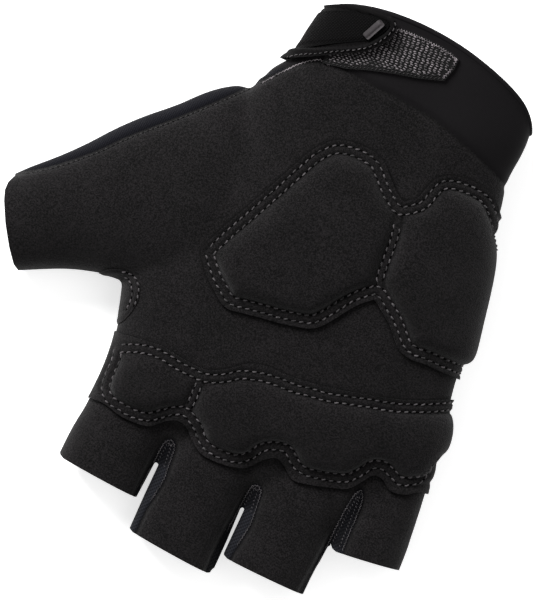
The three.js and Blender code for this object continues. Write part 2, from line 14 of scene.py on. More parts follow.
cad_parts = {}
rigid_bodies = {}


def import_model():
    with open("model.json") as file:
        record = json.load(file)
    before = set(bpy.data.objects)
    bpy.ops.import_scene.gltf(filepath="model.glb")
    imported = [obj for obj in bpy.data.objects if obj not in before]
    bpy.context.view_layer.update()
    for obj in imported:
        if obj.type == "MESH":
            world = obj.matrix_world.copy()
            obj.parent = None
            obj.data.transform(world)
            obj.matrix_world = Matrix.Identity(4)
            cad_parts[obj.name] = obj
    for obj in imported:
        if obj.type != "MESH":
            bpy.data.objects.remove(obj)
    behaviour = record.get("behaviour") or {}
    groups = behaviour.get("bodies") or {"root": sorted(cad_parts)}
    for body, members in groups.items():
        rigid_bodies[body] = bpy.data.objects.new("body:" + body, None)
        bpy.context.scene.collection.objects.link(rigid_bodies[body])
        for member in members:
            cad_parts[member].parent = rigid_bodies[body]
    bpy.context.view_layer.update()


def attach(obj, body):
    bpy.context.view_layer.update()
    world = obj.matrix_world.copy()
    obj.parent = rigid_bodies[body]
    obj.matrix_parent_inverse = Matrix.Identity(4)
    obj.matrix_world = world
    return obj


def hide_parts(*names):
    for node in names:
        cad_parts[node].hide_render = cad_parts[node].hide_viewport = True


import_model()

# The hand
# The panels of the glove are cut and sewn to one hollow hand. Its outside and its hollow are
# lofted through the same sections as the solids, then blended and relaxed as worn cloth is.

MM = 0.001
MIDDLE = np.array([27.2528, 53.485])
WALL = 1.5
KNUCKLE_WIDTH = 100.7
PALM_LENGTH = 135
PALM_HEIGHT = 24
CUFF_LIFT = 5
SEAM_HEIGHT = 8
FINGER_LENGTH = 28.3
FINGER_HEIGHT = 16
FINGER_ROOT = 24
TIP_LIFT = 1.5
THUMB_LENGTH = 60
THUMB_WIDTH = 26.2
THUMB_HEIGHT = 19
THUMB_ANGLE = math.radians(58.4)
THUMB_ROOT = (0.117, 0.507)
WEB_LENGTH = 22
WEB_LAP = 0.3
SEAM_SHARE = 0.42
PALM_CROWN = 2.6
FINGER_CROWN = 2.3
THUMB_CROWN = 2.2
WEB_CROWN = 3
PALM_CORNER = 14
FINGER_CORNER = 6
THUMB_CORNER = 8
SLOT_WIDTH = 1.5
SLOT_FOOT = 10
GUSSET_FOOT = 8.0
SEAM_DEPTH = 0.45
PANEL_DEPTH = 0.4

# before, width, reach left, reach right, slack left, slack right
FINGERS = [
    (0, 0.254, 0.565, 0.622, 0.05, 0.02),
    (0.009, 0.261, 0.936, 1, 0.02, -0.03),
    (0.009, 0.256, 0.784, 0.795, 0.02, 0.02),
    (0.009, 0.202, 0.276, 0.173, 0.025, 0.167),
]
# along, slack left, slack right, lift, crest
FINGER_SECTIONS = [
    (0, 1, 1, 0.2, 0.95),
    (0.4, 1, 0.45, 0.15, 1),
    (0.56, 0.8, 0.25, 0.2, 1),
    (0.72, 0.2, 0.1, 0.4, 1),
    (1, 0, 0, 1, 0.98),
]
# along left, along right, left, right, lift, crest
PALM_SECTIONS = [
    (0.03, 0.1, 0.015, 0.975, 0, 0.7),
    (0.085, 0.14, 0.014, 0.97, 0, 0.78),
    (0.15, 0.18, 0.004, 0.966, 0, 0.85),
    (0.22, 0.22, -0.018, 0.957, 0, 0.9),
    (0.265, 0.265, -0.034, 0.946, 0, 0.92),
    (0.34, 0.34, -0.034, 0.926, 0, 0.95),
    (0.42, 0.42, -0.02, 0.909, 0, 0.98),
    (0.5, 0.5, 0.005, 0.887, 0, 1),
    (0.58, 0.58, 0.025, 0.863, 0, 1),
    (0.66, 0.66, 0.045, 0.843, 0, 1),
    (0.73, 0.73, 0.05, 0.831, 0.15, 1),
    (0.79, 0.79, 0.08, 0.814, 0.6, 1.03),
    (0.85, 0.85, 0.138, 0.816, 0.95, 1.07),
    (0.92, 0.92, 0.158, 0.808, 1, 1.1),
    (1, 1, 0.178, 0.796, 1, 1.12),
    (1.06, 1.06, 0.188, 0.786, 1, 1.12),
]
# along, outer, inner, lift, crest
THUMB_SECTIONS = [
    (1, 0.5, -0.5, 1, 1),
    (0.87, 0.588, -0.534, 0.7, 1.01),
    (0.73, 0.664, -0.573, 0.4, 1.03),
    (0.6, 0.763, -0.649, 0.25, 1.06),
    (0.47, 0.878, -0.76, 0.2, 1.1),
    (0.33, 0.972, -0.86, 0.18, 1.15),
    (0.17, 1.055, -0.9, 0.16, 1.18),
    (0, 1.17, -0.85, 0.18, 1.15),
    (-0.15, 1.19, -0.6, 0.2, 1.0),
    (-0.24, 1.05, -0.4, 0.6, 0.8),
]
# along, lift, crest; and for each web: reach, head
WEB_SECTIONS = [
    (0, 0.04, 1.05), (0.3, 0.03, 0.98), (0.55, 0.06, 0.85), (0.8, 0.12, 0.72), (1, 0.2, 0.62),
]
WEBS = [(0.295, 0.373), (0.341, 0.364), (0.314, 0.841)]


def plan(shares):
    return np.array(shares, float) * [KNUCKLE_WIDTH, PALM_LENGTH] - MIDDLE


def spline(rows, per_span=4, closed=False):
    rows = np.array(rows, float)
    count = len(rows)
    before, after = 2 * rows[0] - rows[1], 2 * rows[-1] - rows[-2]
    padded_rows = np.vstack([rows[-1], rows, rows[:2]] if closed else [before, rows, after])
    share = (np.arange(per_span) / per_span)[:, None]
    spans = []
    for i in range(count if closed else count - 1):
        p0, p1, p2, p3 = padded_rows[i : i + 4]
        bend = 2 * p0 - 5 * p1 + 4 * p2 - p3
        twist = 3 * (p1 - p2) + p3 - p0
        spans.append(p1 + 0.5 * share * (p2 - p0 + share * (bend + share * twist)))
    return np.vstack(spans if closed else [*spans, rows[-1:]])


def made(name, points, faces):
    """A closed mesh from points in millimetres, with its faces turned outwards."""
    mesh = bpy.data.meshes.new(name)
    mesh.from_pydata((np.asarray(points) * MM).tolist(), [], faces)
    turned = bmesh.new()
    turned.from_mesh(mesh)
    bmesh.ops.recalc_face_normals(turned, faces=turned.faces)
    turned.to_mesh(mesh)
    turned.free()
    piece = bpy.data.objects.new(name, mesh)
    bpy.context.scene.collection.objects.link(piece)
    return piece


def settle(piece):
    """The piece's modifiers, worked into its mesh."""
    graph = bpy.context.evaluated_depsgraph_get()
    mesh = bpy.data.meshes.new_from_object(piece.evaluated_get(graph))
    piece.modifiers.clear()
    piece.data = mesh
    return piece


def drop(*pieces):
    for piece in pieces:
        bpy.data.objects.remove(piece)


def trimmed(source, name, *cuts):
    """A copy of a closed piece after a row of (operation, other piece) cuts."""
    piece = source.copy()
    piece.data = source.data.copy()
    piece.name = name
    bpy.context.scene.collection.objects.link(piece)
    for operation, other in cuts:
        cut = piece.modifiers.new(operation, "BOOLEAN")
        cut.operation = operation
        cut.solver = "MANIFOLD"
        cut.object = other
    return settle(piece)


def relaxed(piece, voxel, turns):
    """The piece as one even skin, with its creases rounded off."""
    skin = piece.modifiers.new("skin", "REMESH")
    skin.mode = "VOXEL"
    skin.voxel_size = voxel * MM
    soft = piece.modifiers.new("soft", "SMOOTH")
    soft.factor = 0.5
    soft.iterations = turns
    return settle(piece)


def section(half, bottom, top, crown, corner, grow):
    """A ring round a tube: a crowned top over a flat bottom with round corners."""
    widest = bottom + (top - bottom) * SEAM_SHARE
    angle = np.linspace(0, np.pi, 41)
    c, s = np.cos(angle), np.clip(np.sin(angle), 0, 1)
    over_x = half * np.sign(c) * np.abs(c) ** (2 / crown)
    over = np.stack([over_x, widest + (top - widest) * s ** (2 / crown)], 1)
    run = min(corner, half * 0.9)
    turn = np.linspace(0, np.pi / 2, 9)[1:]
    right_x = half - run + run * np.cos(turn)
    right = np.stack([right_x, widest - (widest - bottom) * np.sin(turn)], 1)
    flat = np.stack([np.linspace(run - half, half - run, 12)[1:-1], np.full(10, bottom)], 1)
    points = np.vstack([over, right * [-1, 1], flat, right[::-1]])
    along = np.roll(points, -1, 0) - np.roll(points, 1, 0)
    outward = along[:, ::-1] * [1, -1]
    return points + grow * outward / np.linalg.norm(outward, axis=1, keepdims=True)


def loft(rows, crown, corner, grow):
    """A closed tube through rows of (ax, ay, bx, by, bottom, top)."""
    rows = spline(rows)
    centres = (rows[:, 0:2] + rows[:, 2:4]) / 2
    rings = []
    for i, (ax, ay, bx, by, bottom, top) in enumerate(rows):
        across = np.array([bx - ax, by - ay])
        width = np.linalg.norm(across)
        across /= width
        centre = centres[i].copy()
        if i in (0, len(rows) - 1):
            outward = centre - centres[1 if i == 0 else -2]
            centre += grow * outward / np.linalg.norm(outward)
        ring = section(width / 2, bottom, top, crown, corner, grow)
        rings.append(np.column_stack([centre + ring[:, :1] * across, ring[:, 1]]))
    count = len(rings[0])
    faces = []
    for r in range(len(rings) - 1):
        for i in range(count):
            p, q = r * count + i, r * count + (i + 1) % count
            faces.append((p, p + count, q + count, q))
    points = np.vstack([*rings, rings[0].mean(0), rings[-1].mean(0)])
    last = (len(rings) - 1) * count
    for hub, first in ((len(points) - 2, 0), (len(points) - 1, last)):
        faces += [(hub, first + i, first + (i + 1) % count) for i in range(count)]
    return made("tube", points, faces)


palm_rows = [
    (*plan((left, low)), *plan((right, high)), lift * CUFF_LIFT, crest * PALM_HEIGHT)
    for low, high, left, right, lift, crest in PALM_SECTIONS
]
finger_places = []
reached = -MIDDLE[0]
for before, width, *_ in FINGERS:
    reached += before * KNUCKLE_WIDTH
    finger_places.append((reached, reached + width * KNUCKLE_WIDTH))
    reached += width * KNUCKLE_WIDTH


def finger_rows(finger, overrun):
    left, right = finger_places[finger]
    _, _, reach_left, reach_right, slack_left, slack_right = FINGERS[finger]
    root = FINGER_ROOT - MIDDLE[1]
    tips = [-reach * FINGER_LENGTH - MIDDLE[1] - overrun for reach in (reach_left, reach_right)]
    return [
        (
            left + slack_left * (right - left) * draw_left,
            root + (tips[0] - root) * along,
            right - slack_right * (right - left) * draw_right,
            root + (tips[1] - root) * along,
            lift * TIP_LIFT,
            lift * TIP_LIFT + crest * FINGER_HEIGHT,
        )
        for along, draw_left, draw_right, lift, crest in FINGER_SECTIONS
    ]


thumb_axis = np.array([-math.sin(THUMB_ANGLE), -math.cos(THUMB_ANGLE)])
thumb_side = np.array([thumb_axis[1], -thumb_axis[0]])


def thumb_point(along, side):
    return plan(THUMB_ROOT) + thumb_axis * along * THUMB_LENGTH + thumb_side * side * THUMB_WIDTH


def thumb_rows(overrun):
    ends = [overrun / THUMB_LENGTH] + [0] * (len(THUMB_SECTIONS) - 1)
    rows = []
    for (along, outside, inside, lift, crest), end in zip(THUMB_SECTIONS, ends):
        edges = (*thumb_point(along + end, outside), *thumb_point(along + end, inside))
        rows.append((*edges, lift * TIP_LIFT, crest * THUMB_HEIGHT))
    return rows


def web_rows(web):
    (left, left_edge), (right_edge, right) = finger_places[web], finger_places[web + 1]
    a = left_edge - (left_edge - left) * WEB_LAP
    b = right_edge + (right - right_edge) * WEB_LAP
    rows = []
    for along, lift, crest in WEB_SECTIONS:
        y = WEB_LENGTH * (1 - along - WEBS[web][0]) - MIDDLE[1]
        rows.append((a, y, b, y, lift * FINGER_HEIGHT, crest * FINGER_HEIGHT))
    return rows


def prism(points, bottom=-60, top=90):
    count = len(points)
    low = np.column_stack([points, np.full(count, bottom)])
    high = np.column_stack([points, np.full(count, top)])
    sides = [(i, (i + 1) % count, (i + 1) % count + count, i + count) for i in range(count)]
    ends = [tuple(range(count)), tuple(range(count, 2 * count))]
    return made("prism", np.vstack([low, high]), [*ends, *sides])


def gap_end(web):
    """The middle of the gap between two fingers, and how far up the hand it ends."""
    middle = (finger_places[web][1] + finger_places[web + 1][0]) / 2
    return middle, -WEB_LENGTH * WEBS[web][0] - MIDDLE[1]


def slot_outline(web, width):
    """The gap between two fingers. It widens to the left, but for the middle one."""
    middle, end = gap_end(web)
    turn = np.linspace(0, np.pi, 9)
    half = width / 2
    head_x = middle + 0.2 + half * 0.75 * np.cos(turn)
    head = np.column_stack([head_x, end - half + half * np.sin(turn)])
    foot = end - SLOT_FOOT
    left_foot = middle + (0 if web == 1 else -half * 1.15)
    return np.vstack([
        [middle + half, -200], [middle + half, foot], head, [left_foot, foot], [left_foot, -200],
    ])


def hand(grow, overrun, voxel, turns):
    """The whole hand, its tubes joined, parted between the fingers and relaxed."""
    tubes = [
        loft(palm_rows, PALM_CROWN, PALM_CORNER, grow),
        loft(thumb_rows(overrun), THUMB_CROWN, THUMB_CORNER, grow),
        *[loft(finger_rows(finger, overrun), FINGER_CROWN, FINGER_CORNER, grow) for finger in range(4)],
        *[loft(web_rows(web), WEB_CROWN, FINGER_CORNER, grow) for web in range(3)],
    ]
    whole = trimmed(tubes[0], "hand", *[("UNION", tube) for tube in tubes[1:]])
    slots = [prism(slot_outline(web, SLOT_WIDTH - 2 * grow)) for web in range(3)]
    parted = trimmed(whole, "hand", *[("DIFFERENCE", slot) for slot in slots])
    soft = relaxed(parted, voxel, turns)
    opened = trimmed(soft, "hand", *[("DIFFERENCE", slot) for slot in slots])
    drop(whole, soft, *tubes, *slots)
    return opened


def places(piece):
    flat = np.empty(len(piece.data.vertices) * 3)
    piece.data.vertices.foreach_get("co", flat)
    return flat.reshape(-1, 3) / MM


def facing(piece):
    flat = np.empty(len(piece.data.vertices) * 3)
    piece.data.vertices.foreach_get("normal", flat)
    return flat.reshape(-1, 3)


def moved(piece, points):
    piece.data.vertices.foreach_set("co", (points * MM).ravel())
    piece.data.update()
    return piece


def distance(points, line, closed=False):
    """How far each point lies from a line, both seen from above."""
    ends = np.roll(line, -1, 0) if closed else line[1:]
    best = np.full(len(points), 1e9)
    for a, b in zip(line, ends):
        side = b - a
        share = np.clip((points[:, :2] - a) @ side / max(side @ side, 1e-9), 0, 1)
        best = np.minimum(best, np.linalg.norm(points[:, :2] - a - share[:, None] * side, axis=1))
    return best


def within(points, loop):
    """Whether each point lies inside a closed line, both seen from above."""
    x, y = points[:, 0], points[:, 1]
    odd = np.zeros(len(points), bool)
    for (ax, ay), (bx, by) in zip(loop, np.roll(loop, -1, 0)):
        if ay != by:
            odd ^= ((ay > y) != (by > y)) & (x < (bx - ax) * (y - ay) / (by - ay) + ax)
    return odd


def bell(values, width):
    return np.exp(-((values / width) ** 2))


def swell(values, low, high):
    share = np.clip((values - low) / (high - low), 0, 1)
    return share * share * (3 - 2 * share)


RIM_LINE = [
    (-0.1, 0.87), (0.08, 0.925), (0.143, 0.952), (0.205, 0.978), (0.3, 0.996), (0.415, 1.002),
    (0.53, 0.996), (0.642, 0.978), (0.729, 0.956), (0.779, 0.933), (0.812, 0.9), (0.84, 0.84),
]
CUFF_LINE = [
    (-0.2, 0.735), (-0.02, 0.745), (0.055, 0.768), (0.152, 0.824), (0.223, 0.852), (0.389, 0.846),
    (0.539, 0.838), (0.66, 0.815), (0.808, 0.779), (0.95, 0.72),
]
THUMB_SEAM_LINE = [
    (-0.47, 0.36), (-0.363, 0.411), (-0.26, 0.483), (-0.197, 0.538), (-0.114, 0.602),
    (-0.016, 0.681), (0.058, 0.747), (0.12, 0.8),
]
rim_line = spline(plan(RIM_LINE))
cuff_line = spline(plan(CUFF_LINE))
thumb_seam = spline(plan(THUMB_SEAM_LINE))
# share of the head's length above the end of the gap, left, right
GUSSET_SIDES = [
    (-1.6, -1.9, 3.1), (-1.0, -1.7, 3.9), (-0.4, -1.4, 4.4), (0, -1.2, 4.1), (0.35, -1.0, 3.8),
    (0.6, -0.85, 3.6), (0.8, -0.55, 3.2), (0.93, 0, 2.5), (0.99, 0.8, 1.7),
]


def gusset_outline(web, inset=0.0):
    middle, end = gap_end(web)
    head = WEB_LENGTH * WEBS[web][1]
    rows = np.array([(share, left + inset, right - inset) for share, left, right in GUSSET_SIDES])
    length = np.where(rows[:, 0] < 0, GUSSET_FOOT, head) * rows[:, 0] - inset * (rows[:, 0] > 0.9)
    left = np.column_stack([middle + rows[:, 1], end + length])
    right = np.column_stack([middle + rows[:, 2], end + length])
    side = spline(np.vstack([left, right[::-1]]), 4)
    return np.vstack([[side[0][0], -200], side, [side[-1][0], -200]])


gusset_outlines = [gusset_outline(web) for web in range(3)]
outer = hand(0, 4, 0.7, 36)
points, outward = places(outer), facing(outer)
side_seam = bell(points[:, 2] - SEAM_HEIGHT, 1.0) * (points[:, 1] < 28)
sunk = SEAM_DEPTH * np.maximum(side_seam, bell(distance(points, thumb_seam), 0.9))
sunk = np.maximum(sunk, PANEL_DEPTH * bell(distance(points, cuff_line), 0.9))
for outline in gusset_outlines:
    sunk = np.maximum(sunk, PANEL_DEPTH * bell(distance(points, outline), 0.7))
x, y, z = points.T
drape_waves = (
    0.28 * np.sin(x / 9.1 + y / 17 + 1.3) * np.sin(y / 11.7 - x / 31)
    + 0.16 * np.sin(x / 4.7 - y / 8.3 + 0.6) * np.sin(y / 6.1 + x / 13 + 2.1)
)
raised = drape_waves * swell(z, 6, 14) - sunk
moved(outer, points + outward * raised[:, None])
hollow = hand(-WALL, 8, 1.0, 18)

outer_edges = spline(np.array(palm_rows)[:, 2:4])
ulnar_x, ulnar_y = outer_edges[:, 0], outer_edges[:, 1]

# Cloths
# The finishes of the glove are worked out from the place on it, in millimetres, and darkened where a piece
# carries painted shade.


class Value:
    """A value on its way through a material's nodes. Arithmetic on it adds the nodes."""

    def __init__(self, tree, socket=None):
        self.tree, self.socket = tree, socket

    def node(self, kind, settings=None, sockets=None, output=0):
        node = self.tree.nodes.new(kind)
        for name, setting in (settings or {}).items():
            if name == "stops":
                ramp = node.color_ramp.elements
                while len(ramp) < len(setting):
                    ramp.new(0.5)
                for stop, (place, tone) in zip(ramp, setting):
                    stop.position, stop.color = place, tone
            else:
                setattr(node, name, setting)
        for key, value in (sockets or {}).items():
            if isinstance(value, Value):
                self.tree.links.new(value.socket, node.inputs[key])
            else:
                node.inputs[key].default_value = value
        return Value(self.tree, node.outputs[output])

    def maths(self, operation, first, second):
        return self.node("ShaderNodeMath", {"operation": operation}, {0: first, 1: second})

    def __add__(self, other):
        return self.maths("ADD", self, other)

    def __mul__(self, other):
        return self.maths("MULTIPLY", self, other)

    def __sub__(self, other):
        return self.maths("SUBTRACT", self, other)

    def __rsub__(self, other):
        return self.maths("SUBTRACT", other, self)

    def __truediv__(self, other):
        return self.maths("DIVIDE", self, other)

    def __pow__(self, other):
        return self.maths("POWER", self, other)

    __radd__ = __add__
    __rmul__ = __mul__

    def blend(self, low, high):
        """low where the value is 0 and high where it is 1, for two colours."""
        return self.node("ShaderNodeMix", {"data_type": "RGBA"}, {0: self, 6: low, 7: high}, 2)


def grey(level, warm=0.06):
    return (level * (1 + warm), level * (1 - warm), level, 1)


class Finish:
    """A material whose colour, roughness and bump are worked out at each place on the piece."""

    def __init__(self, name, sheen=0.0, sheen_roughness=0.5, coat=0.0, specular=0.5):
        self.material = bpy.data.materials.new(name)
        self.material.use_nodes = True
        self.tree = self.material.node_tree
        self.shader = self.tree.nodes["Principled BSDF"]
        self.shader.inputs["Sheen Weight"].default_value = sheen
        self.shader.inputs["Sheen Roughness"].default_value = sheen_roughness
        self.shader.inputs["Specular IOR Level"].default_value = specular
        self.shader.inputs["Coat Weight"].default_value = coat
        root = Value(self.tree)
        place = root.node("ShaderNodeTexCoord", output=3)
        self.place = root.node("ShaderNodeVectorMath", {"operation": "SCALE"}, {0: place, 3: 1000.0})
        # The crease attribute holds painted shade, which the finishes use to darken their colour.
        self.crease = root.node("ShaderNodeAttribute", {"attribute_name": "crease"}, output=2)

    def noise(self, size, detail=2.0, rough=0.5):
        return self.place.node(
            "ShaderNodeTexNoise", {"noise_dimensions": "3D"},
            {"Vector": self.place, "Scale": 1 / size, "Detail": detail, "Roughness": rough},
        )

    def wave(self, pitch, turn=0.0, bend=0.0, direction="X"):
        place = self.place.node("ShaderNodeMapping", None, {0: self.place, 2: (0, 0, turn)})
        return place.node(
            "ShaderNodeTexWave", {"bands_direction": direction},
            {"Vector": place, "Scale": 2 * math.pi / (20 * pitch), "Distortion": bend, "Detail": 1.0},
        )

    def finish(self, colour, roughness, height=None, depth=0.1, strength=1.0):
        links = self.tree.links
        links.new(colour.socket, self.shader.inputs["Base Color"])
        if isinstance(roughness, Value):
            links.new(roughness.socket, self.shader.inputs["Roughness"])
        else:
            self.shader.inputs["Roughness"].default_value = roughness
        if height is not None:
            sockets = {"Strength": strength, "Distance": depth * MM, "Height": height}
            bump = height.node("ShaderNodeBump", None, sockets)
            links.new(bump.socket, self.shader.inputs["Normal"])
        return self.material


def suede_finish():
    cloth = Finish("black_suede", sheen=0.09, sheen_roughness=0.5, specular=0.08)
    grain = cloth.noise(0.46, 2.0, 0.75)
    nap = cloth.noise(0.2, 2.0, 0.7)
    brushed = cloth.noise(9.0, 3.0, 0.55)
    speckle = (grain - 0.5) * 3.6 + (nap - 0.5) * 1.8 + (brushed - 0.5) * 0.6 + 0.4
    # Painted shade: the crease attribute darkens the suede in seams, needle rows and along raw edges.
    tone = speckle.node("ShaderNodeClamp", None, {0: speckle}) * (1 - cloth.crease * 0.9)
    colour = tone.blend(grey(0.0008), grey(0.0118))
    return cloth.finish(colour, 0.96 - tone * 0.08, grain * 0.6 + nap * 0.4, 0.3, 1.0)


def knit_finish(name, low, high, pitch=0.55, turn=0.0):
    cloth = Finish(name, sheen=0.03, sheen_roughness=0.5, specular=0.05)
    ribs = cloth.wave(pitch, turn, 0.4)
    rows = cloth.wave(pitch * 0.8, turn, 0.4, "Y")
    fuzz = cloth.noise(0.25, 2.0, 0.6)
    height = ribs * 0.6 + rows * 0.4
    # Painted shade: the crease attribute darkens the knit in folds and along seams.
    tone = (height * 0.7 + (fuzz - 0.35) * 0.6) * (1 - cloth.crease * 0.85)
    return cloth.finish(tone.blend(low, high), 0.9, height, 0.18, 0.8)


suede = suede_finish()
back_knit = knit_finish("navy_black_knit", (0.001, 0.001, 0.0016, 1), (0.0068, 0.007, 0.0105, 1))
gusset_knit = knit_finish(
    "ribbed_gusset_knit", (0.0003, 0.0003, 0.0005, 1), (0.018, 0.019, 0.024, 1), 0.8, 0.7
)


def paint_shade(piece, *shade_masks):
    """Painted shade on the piece, from 0 to 1, kept in its crease attribute for its finish to darken its
    colour.
    """
    points = places(piece)
    painted_darkness = np.max([hollow(points) for hollow in shade_masks], axis=0)
    depth = piece.data.attributes.new("crease", "FLOAT", "POINT")
    depth.data.foreach_set("value", np.clip(painted_darkness, 0, 1))
    return piece


# A band of painted shade along a line, strongest on the line.
def along_line(line, width, depth=1.0, closed=False):
    return lambda points: depth * bell(distance(points, line, closed), width)


def dressed(piece, finish, slot, *nodes, crease=0.75):
    """The piece in its material, shaded smooth, in place of its plain solids."""
    piece.data.materials.clear()
    piece.data.materials.append(finish)
    piece.data.shade_smooth()
    piece.data.set_sharp_from_angle(angle=crease)
    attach(piece, "root")
    if nodes:
        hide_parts(*nodes)
    return piece


# Panels
# The suede palm and the knit back meet round the outside at the side seam. The knit back also
# shows as a narrow strip along the thumb. The gussets fill the gaps between the fingers, and
# every opening is cut raw.

FAR = 200
TIP_ROUNDING = 2.2


def across_from(line, side, shift=0):
    """Everything on the finger side (-1) or the rim side (1) of a line from left to right."""
    line = line + [0, shift]
    first, last = [-FAR, line[0][1]], [FAR, line[-1][1]]
    return np.vstack([[-FAR, side * FAR], first, line, last, [FAR, side * FAR]])


def tip_outline(finger):
    """What is cut off beyond a finger tip. Its corners are rounded, but not on the hand's outer side."""
    left, right = finger_places[finger]
    _, _, reach_left, reach_right, *_ = FINGERS[finger]
    low, high = (-reach * FINGER_LENGTH - MIDDLE[1] for reach in (reach_left, reach_right))
    slope = (high - low) / (right - left)
    a, b = left - (0.2 if finger == 0 else 0.45), right + (10 if finger == 3 else 0.45)
    rounding = TIP_ROUNDING
    rows = [(a, 1.0 * rounding), (a + 0.35, 0.5 * rounding), (a + 0.95, 0.2 * rounding), (a + 2.2, 0)]
    if finger == 0:
        a -= 10
        rows = [(a, 4 * rounding), *rows]
    rounding = 0 if finger == 3 else TIP_ROUNDING * 0.8
    rows += [(b - 1.4, 0), (b - 0.6, 0.2 * rounding), (b - 0.2, 0.5 * rounding), (b, 1.0 * rounding)]
    return np.array([(x, low + slope * (x - left) + up) for x, up in rows] + [(b, -FAR), (a, -FAR)])


open_ends = [prism(tip_outline(finger)) for finger in range(4)]
# across, out
THUMB_MOUTH = [
    (-2, -0.9), (-0.5, -0.7), (-0.44, 0.1), (-0.25, 0.6), (0, 0.8), (0.25, 0.5), (0.36, 0), (0.44, -1.1),
    (0.5, -3), (2, -3.2),
]
mouth = np.array([thumb_point(1, across) + thumb_axis * out for across, out in THUMB_MOUTH])
open_ends.append(prism(np.vstack([mouth, mouth[-1] + thumb_axis * 60, mouth[0] + thumb_axis * 60])))
beyond_rim = prism(across_from(rim_line, 1))
wall = trimmed(
    outer, "wall", ("DIFFERENCE", hollow), *[("DIFFERENCE", end) for end in open_ends],
    ("DIFFERENCE", beyond_rim),
)
gusset_tools = [prism(outline) for outline in gusset_outlines]
above_cuff_line = prism(across_from(cuff_line, 1))
body = trimmed(
    wall, "body", ("DIFFERENCE", above_cuff_line), *[("DIFFERENCE", tool) for tool in gusset_tools]
)
flat_square = np.array([(-FAR, -FAR), (FAR, -FAR), (FAR, FAR), (-FAR, FAR)])
lower_half = prism(flat_square, -60, SEAM_HEIGHT)
upper_half = prism(flat_square, SEAM_HEIGHT, 90)
strip_outline = np.vstack([thumb_seam, [thumb_seam[-1][0], FAR], [-FAR, FAR], [-FAR, thumb_seam[0][1]]])
thumb_strip = prism(strip_outline, SEAM_HEIGHT - 0.01, 90)
back_space = trimmed(lower_half, "back_space", ("UNION", thumb_strip))
palm_panel = trimmed(body, "palm_panel_suede", ("DIFFERENCE", back_space))
back_panel = trimmed(body, "back_panel_knit", ("INTERSECT", back_space))
# Bands of painted shade along the seams, on the panels beside them.
seam_shades = [along_line(thumb_seam, 0.7, 0.7), along_line(cuff_line, 0.6, 0.8)]
seam_shades += [along_line(outline, 0.6, 0.75) for outline in gusset_outlines]
paint_shade(back_panel, seam_shades[0])
dressed(back_panel, back_knit, "back_knit", "back_panel")
gusset_names = ("index_middle", "middle_ring", "ring_little")
gussets = []
for web, (name, tool) in enumerate(zip(gusset_names, gusset_tools)):
    gusset = trimmed(wall, f"gusset_{name}_knit", ("INTERSECT", tool))
    gap, end = gap_end(web)

    def shaded_side(points):
        """Painted shade on the left side of the gap and inside the head, where they lie in a fold."""
        side = 1 - swell(points[:, 0], gap - 0.3, gap + 1.0)
        return np.maximum(0.85 * side, 0.8 * swell(points[:, 1], end - 1.0, end + 2.0))

    # Painted shade in the fold and along the gusset's seam.
    paint_shade(gusset, shaded_side, along_line(gusset_outlines[web], 0.5, 0.9))
    gussets.append(dressed(gusset, gusset_knit, "ribbed_knit", f"gusset_{name}"))

# Cuff
# A smooth stretch cuff is sewn to the palm and the back, and its edge at the wrist is bound.

BINDING_WIDTH = 1.5


def stretch_finish(name, low, high):
    cloth = Finish(name, sheen=0.04, sheen_roughness=0.4, specular=0.1)
    weave = cloth.wave(0.34, 0.4, 0.3) * 0.5 + cloth.wave(0.34, 0.4, 0.3, "Y") * 0.5
    fuzz = cloth.noise(0.5, 3.0, 0.6)
    # Painted shade: the crease attribute darkens the cloth along its seams.
    tone = (weave * 0.35 + fuzz * 0.65) * (1 - cloth.crease * 0.8)
    return cloth.finish(tone.blend(low, high), 0.88, weave, 0.06, 0.5)


cuff_cloth = stretch_finish("stretch_cuff_cloth", (0.0025, 0.0021, 0.0025, 1), (0.0082, 0.0073, 0.0082, 1))
near_rim = prism(across_from(rim_line, 1, -BINDING_WIDTH / 2))
cuff = trimmed(wall, "cuff_stretch", ("INTERSECT", above_cuff_line), ("DIFFERENCE", near_rim))
binding_seam = rim_line - [0, BINDING_WIDTH + 0.3]
# Painted shade along the cuff seam and the binding seam.
paint_shade(cuff, along_line(cuff_line, 0.6, 0.7), along_line(binding_seam, 0.45, 0.7))
dressed(cuff, cuff_cloth, "cuff_fabric", "cuff")


def surface(*pieces):
    """The pieces' outsides as one thing that rays can find, in metres."""
    corners, faces = [], []
    for piece in pieces:
        first = len(corners)
        corners += [vertex.co.copy() for vertex in piece.data.vertices]
        faces += [tuple(first + v for v in polygon.vertices) for polygon in piece.data.polygons]
    return BVHTree.FromPolygons(corners, faces)


def shot(skin, start, aim):
    """Where a ray from start towards aim meets the skin, and which way the skin faces there."""
    start, aim = Vector(start) * MM, Vector(aim)
    hit, normal, _, _ = skin.ray_cast(start, aim.normalized())
    if hit is None:
        return None
    if normal.dot(aim) > 0:
        normal = -normal
    return np.array(hit) / MM, np.array(normal)


def swept(path, frames, ring, name):
    """A closed roll with the given ring of (out, along) offsets about a closed path."""
    count, around = len(path), len(ring)
    points = []
    for point, (out, along) in zip(path, frames):
        points += [point + out * u + along * v for u, v in ring]
    faces = []
    for r in range(count):
        for i in range(around):
            p, q = r * around + i, r * around + (i + 1) % around
            following = ((r + 1) % count) * around
            faces.append((p, following + i, following + (i + 1) % around, q))
    return made(name, points, faces)


def rim_height(x):
    return np.interp(x, rim_line[:, 0], rim_line[:, 1])


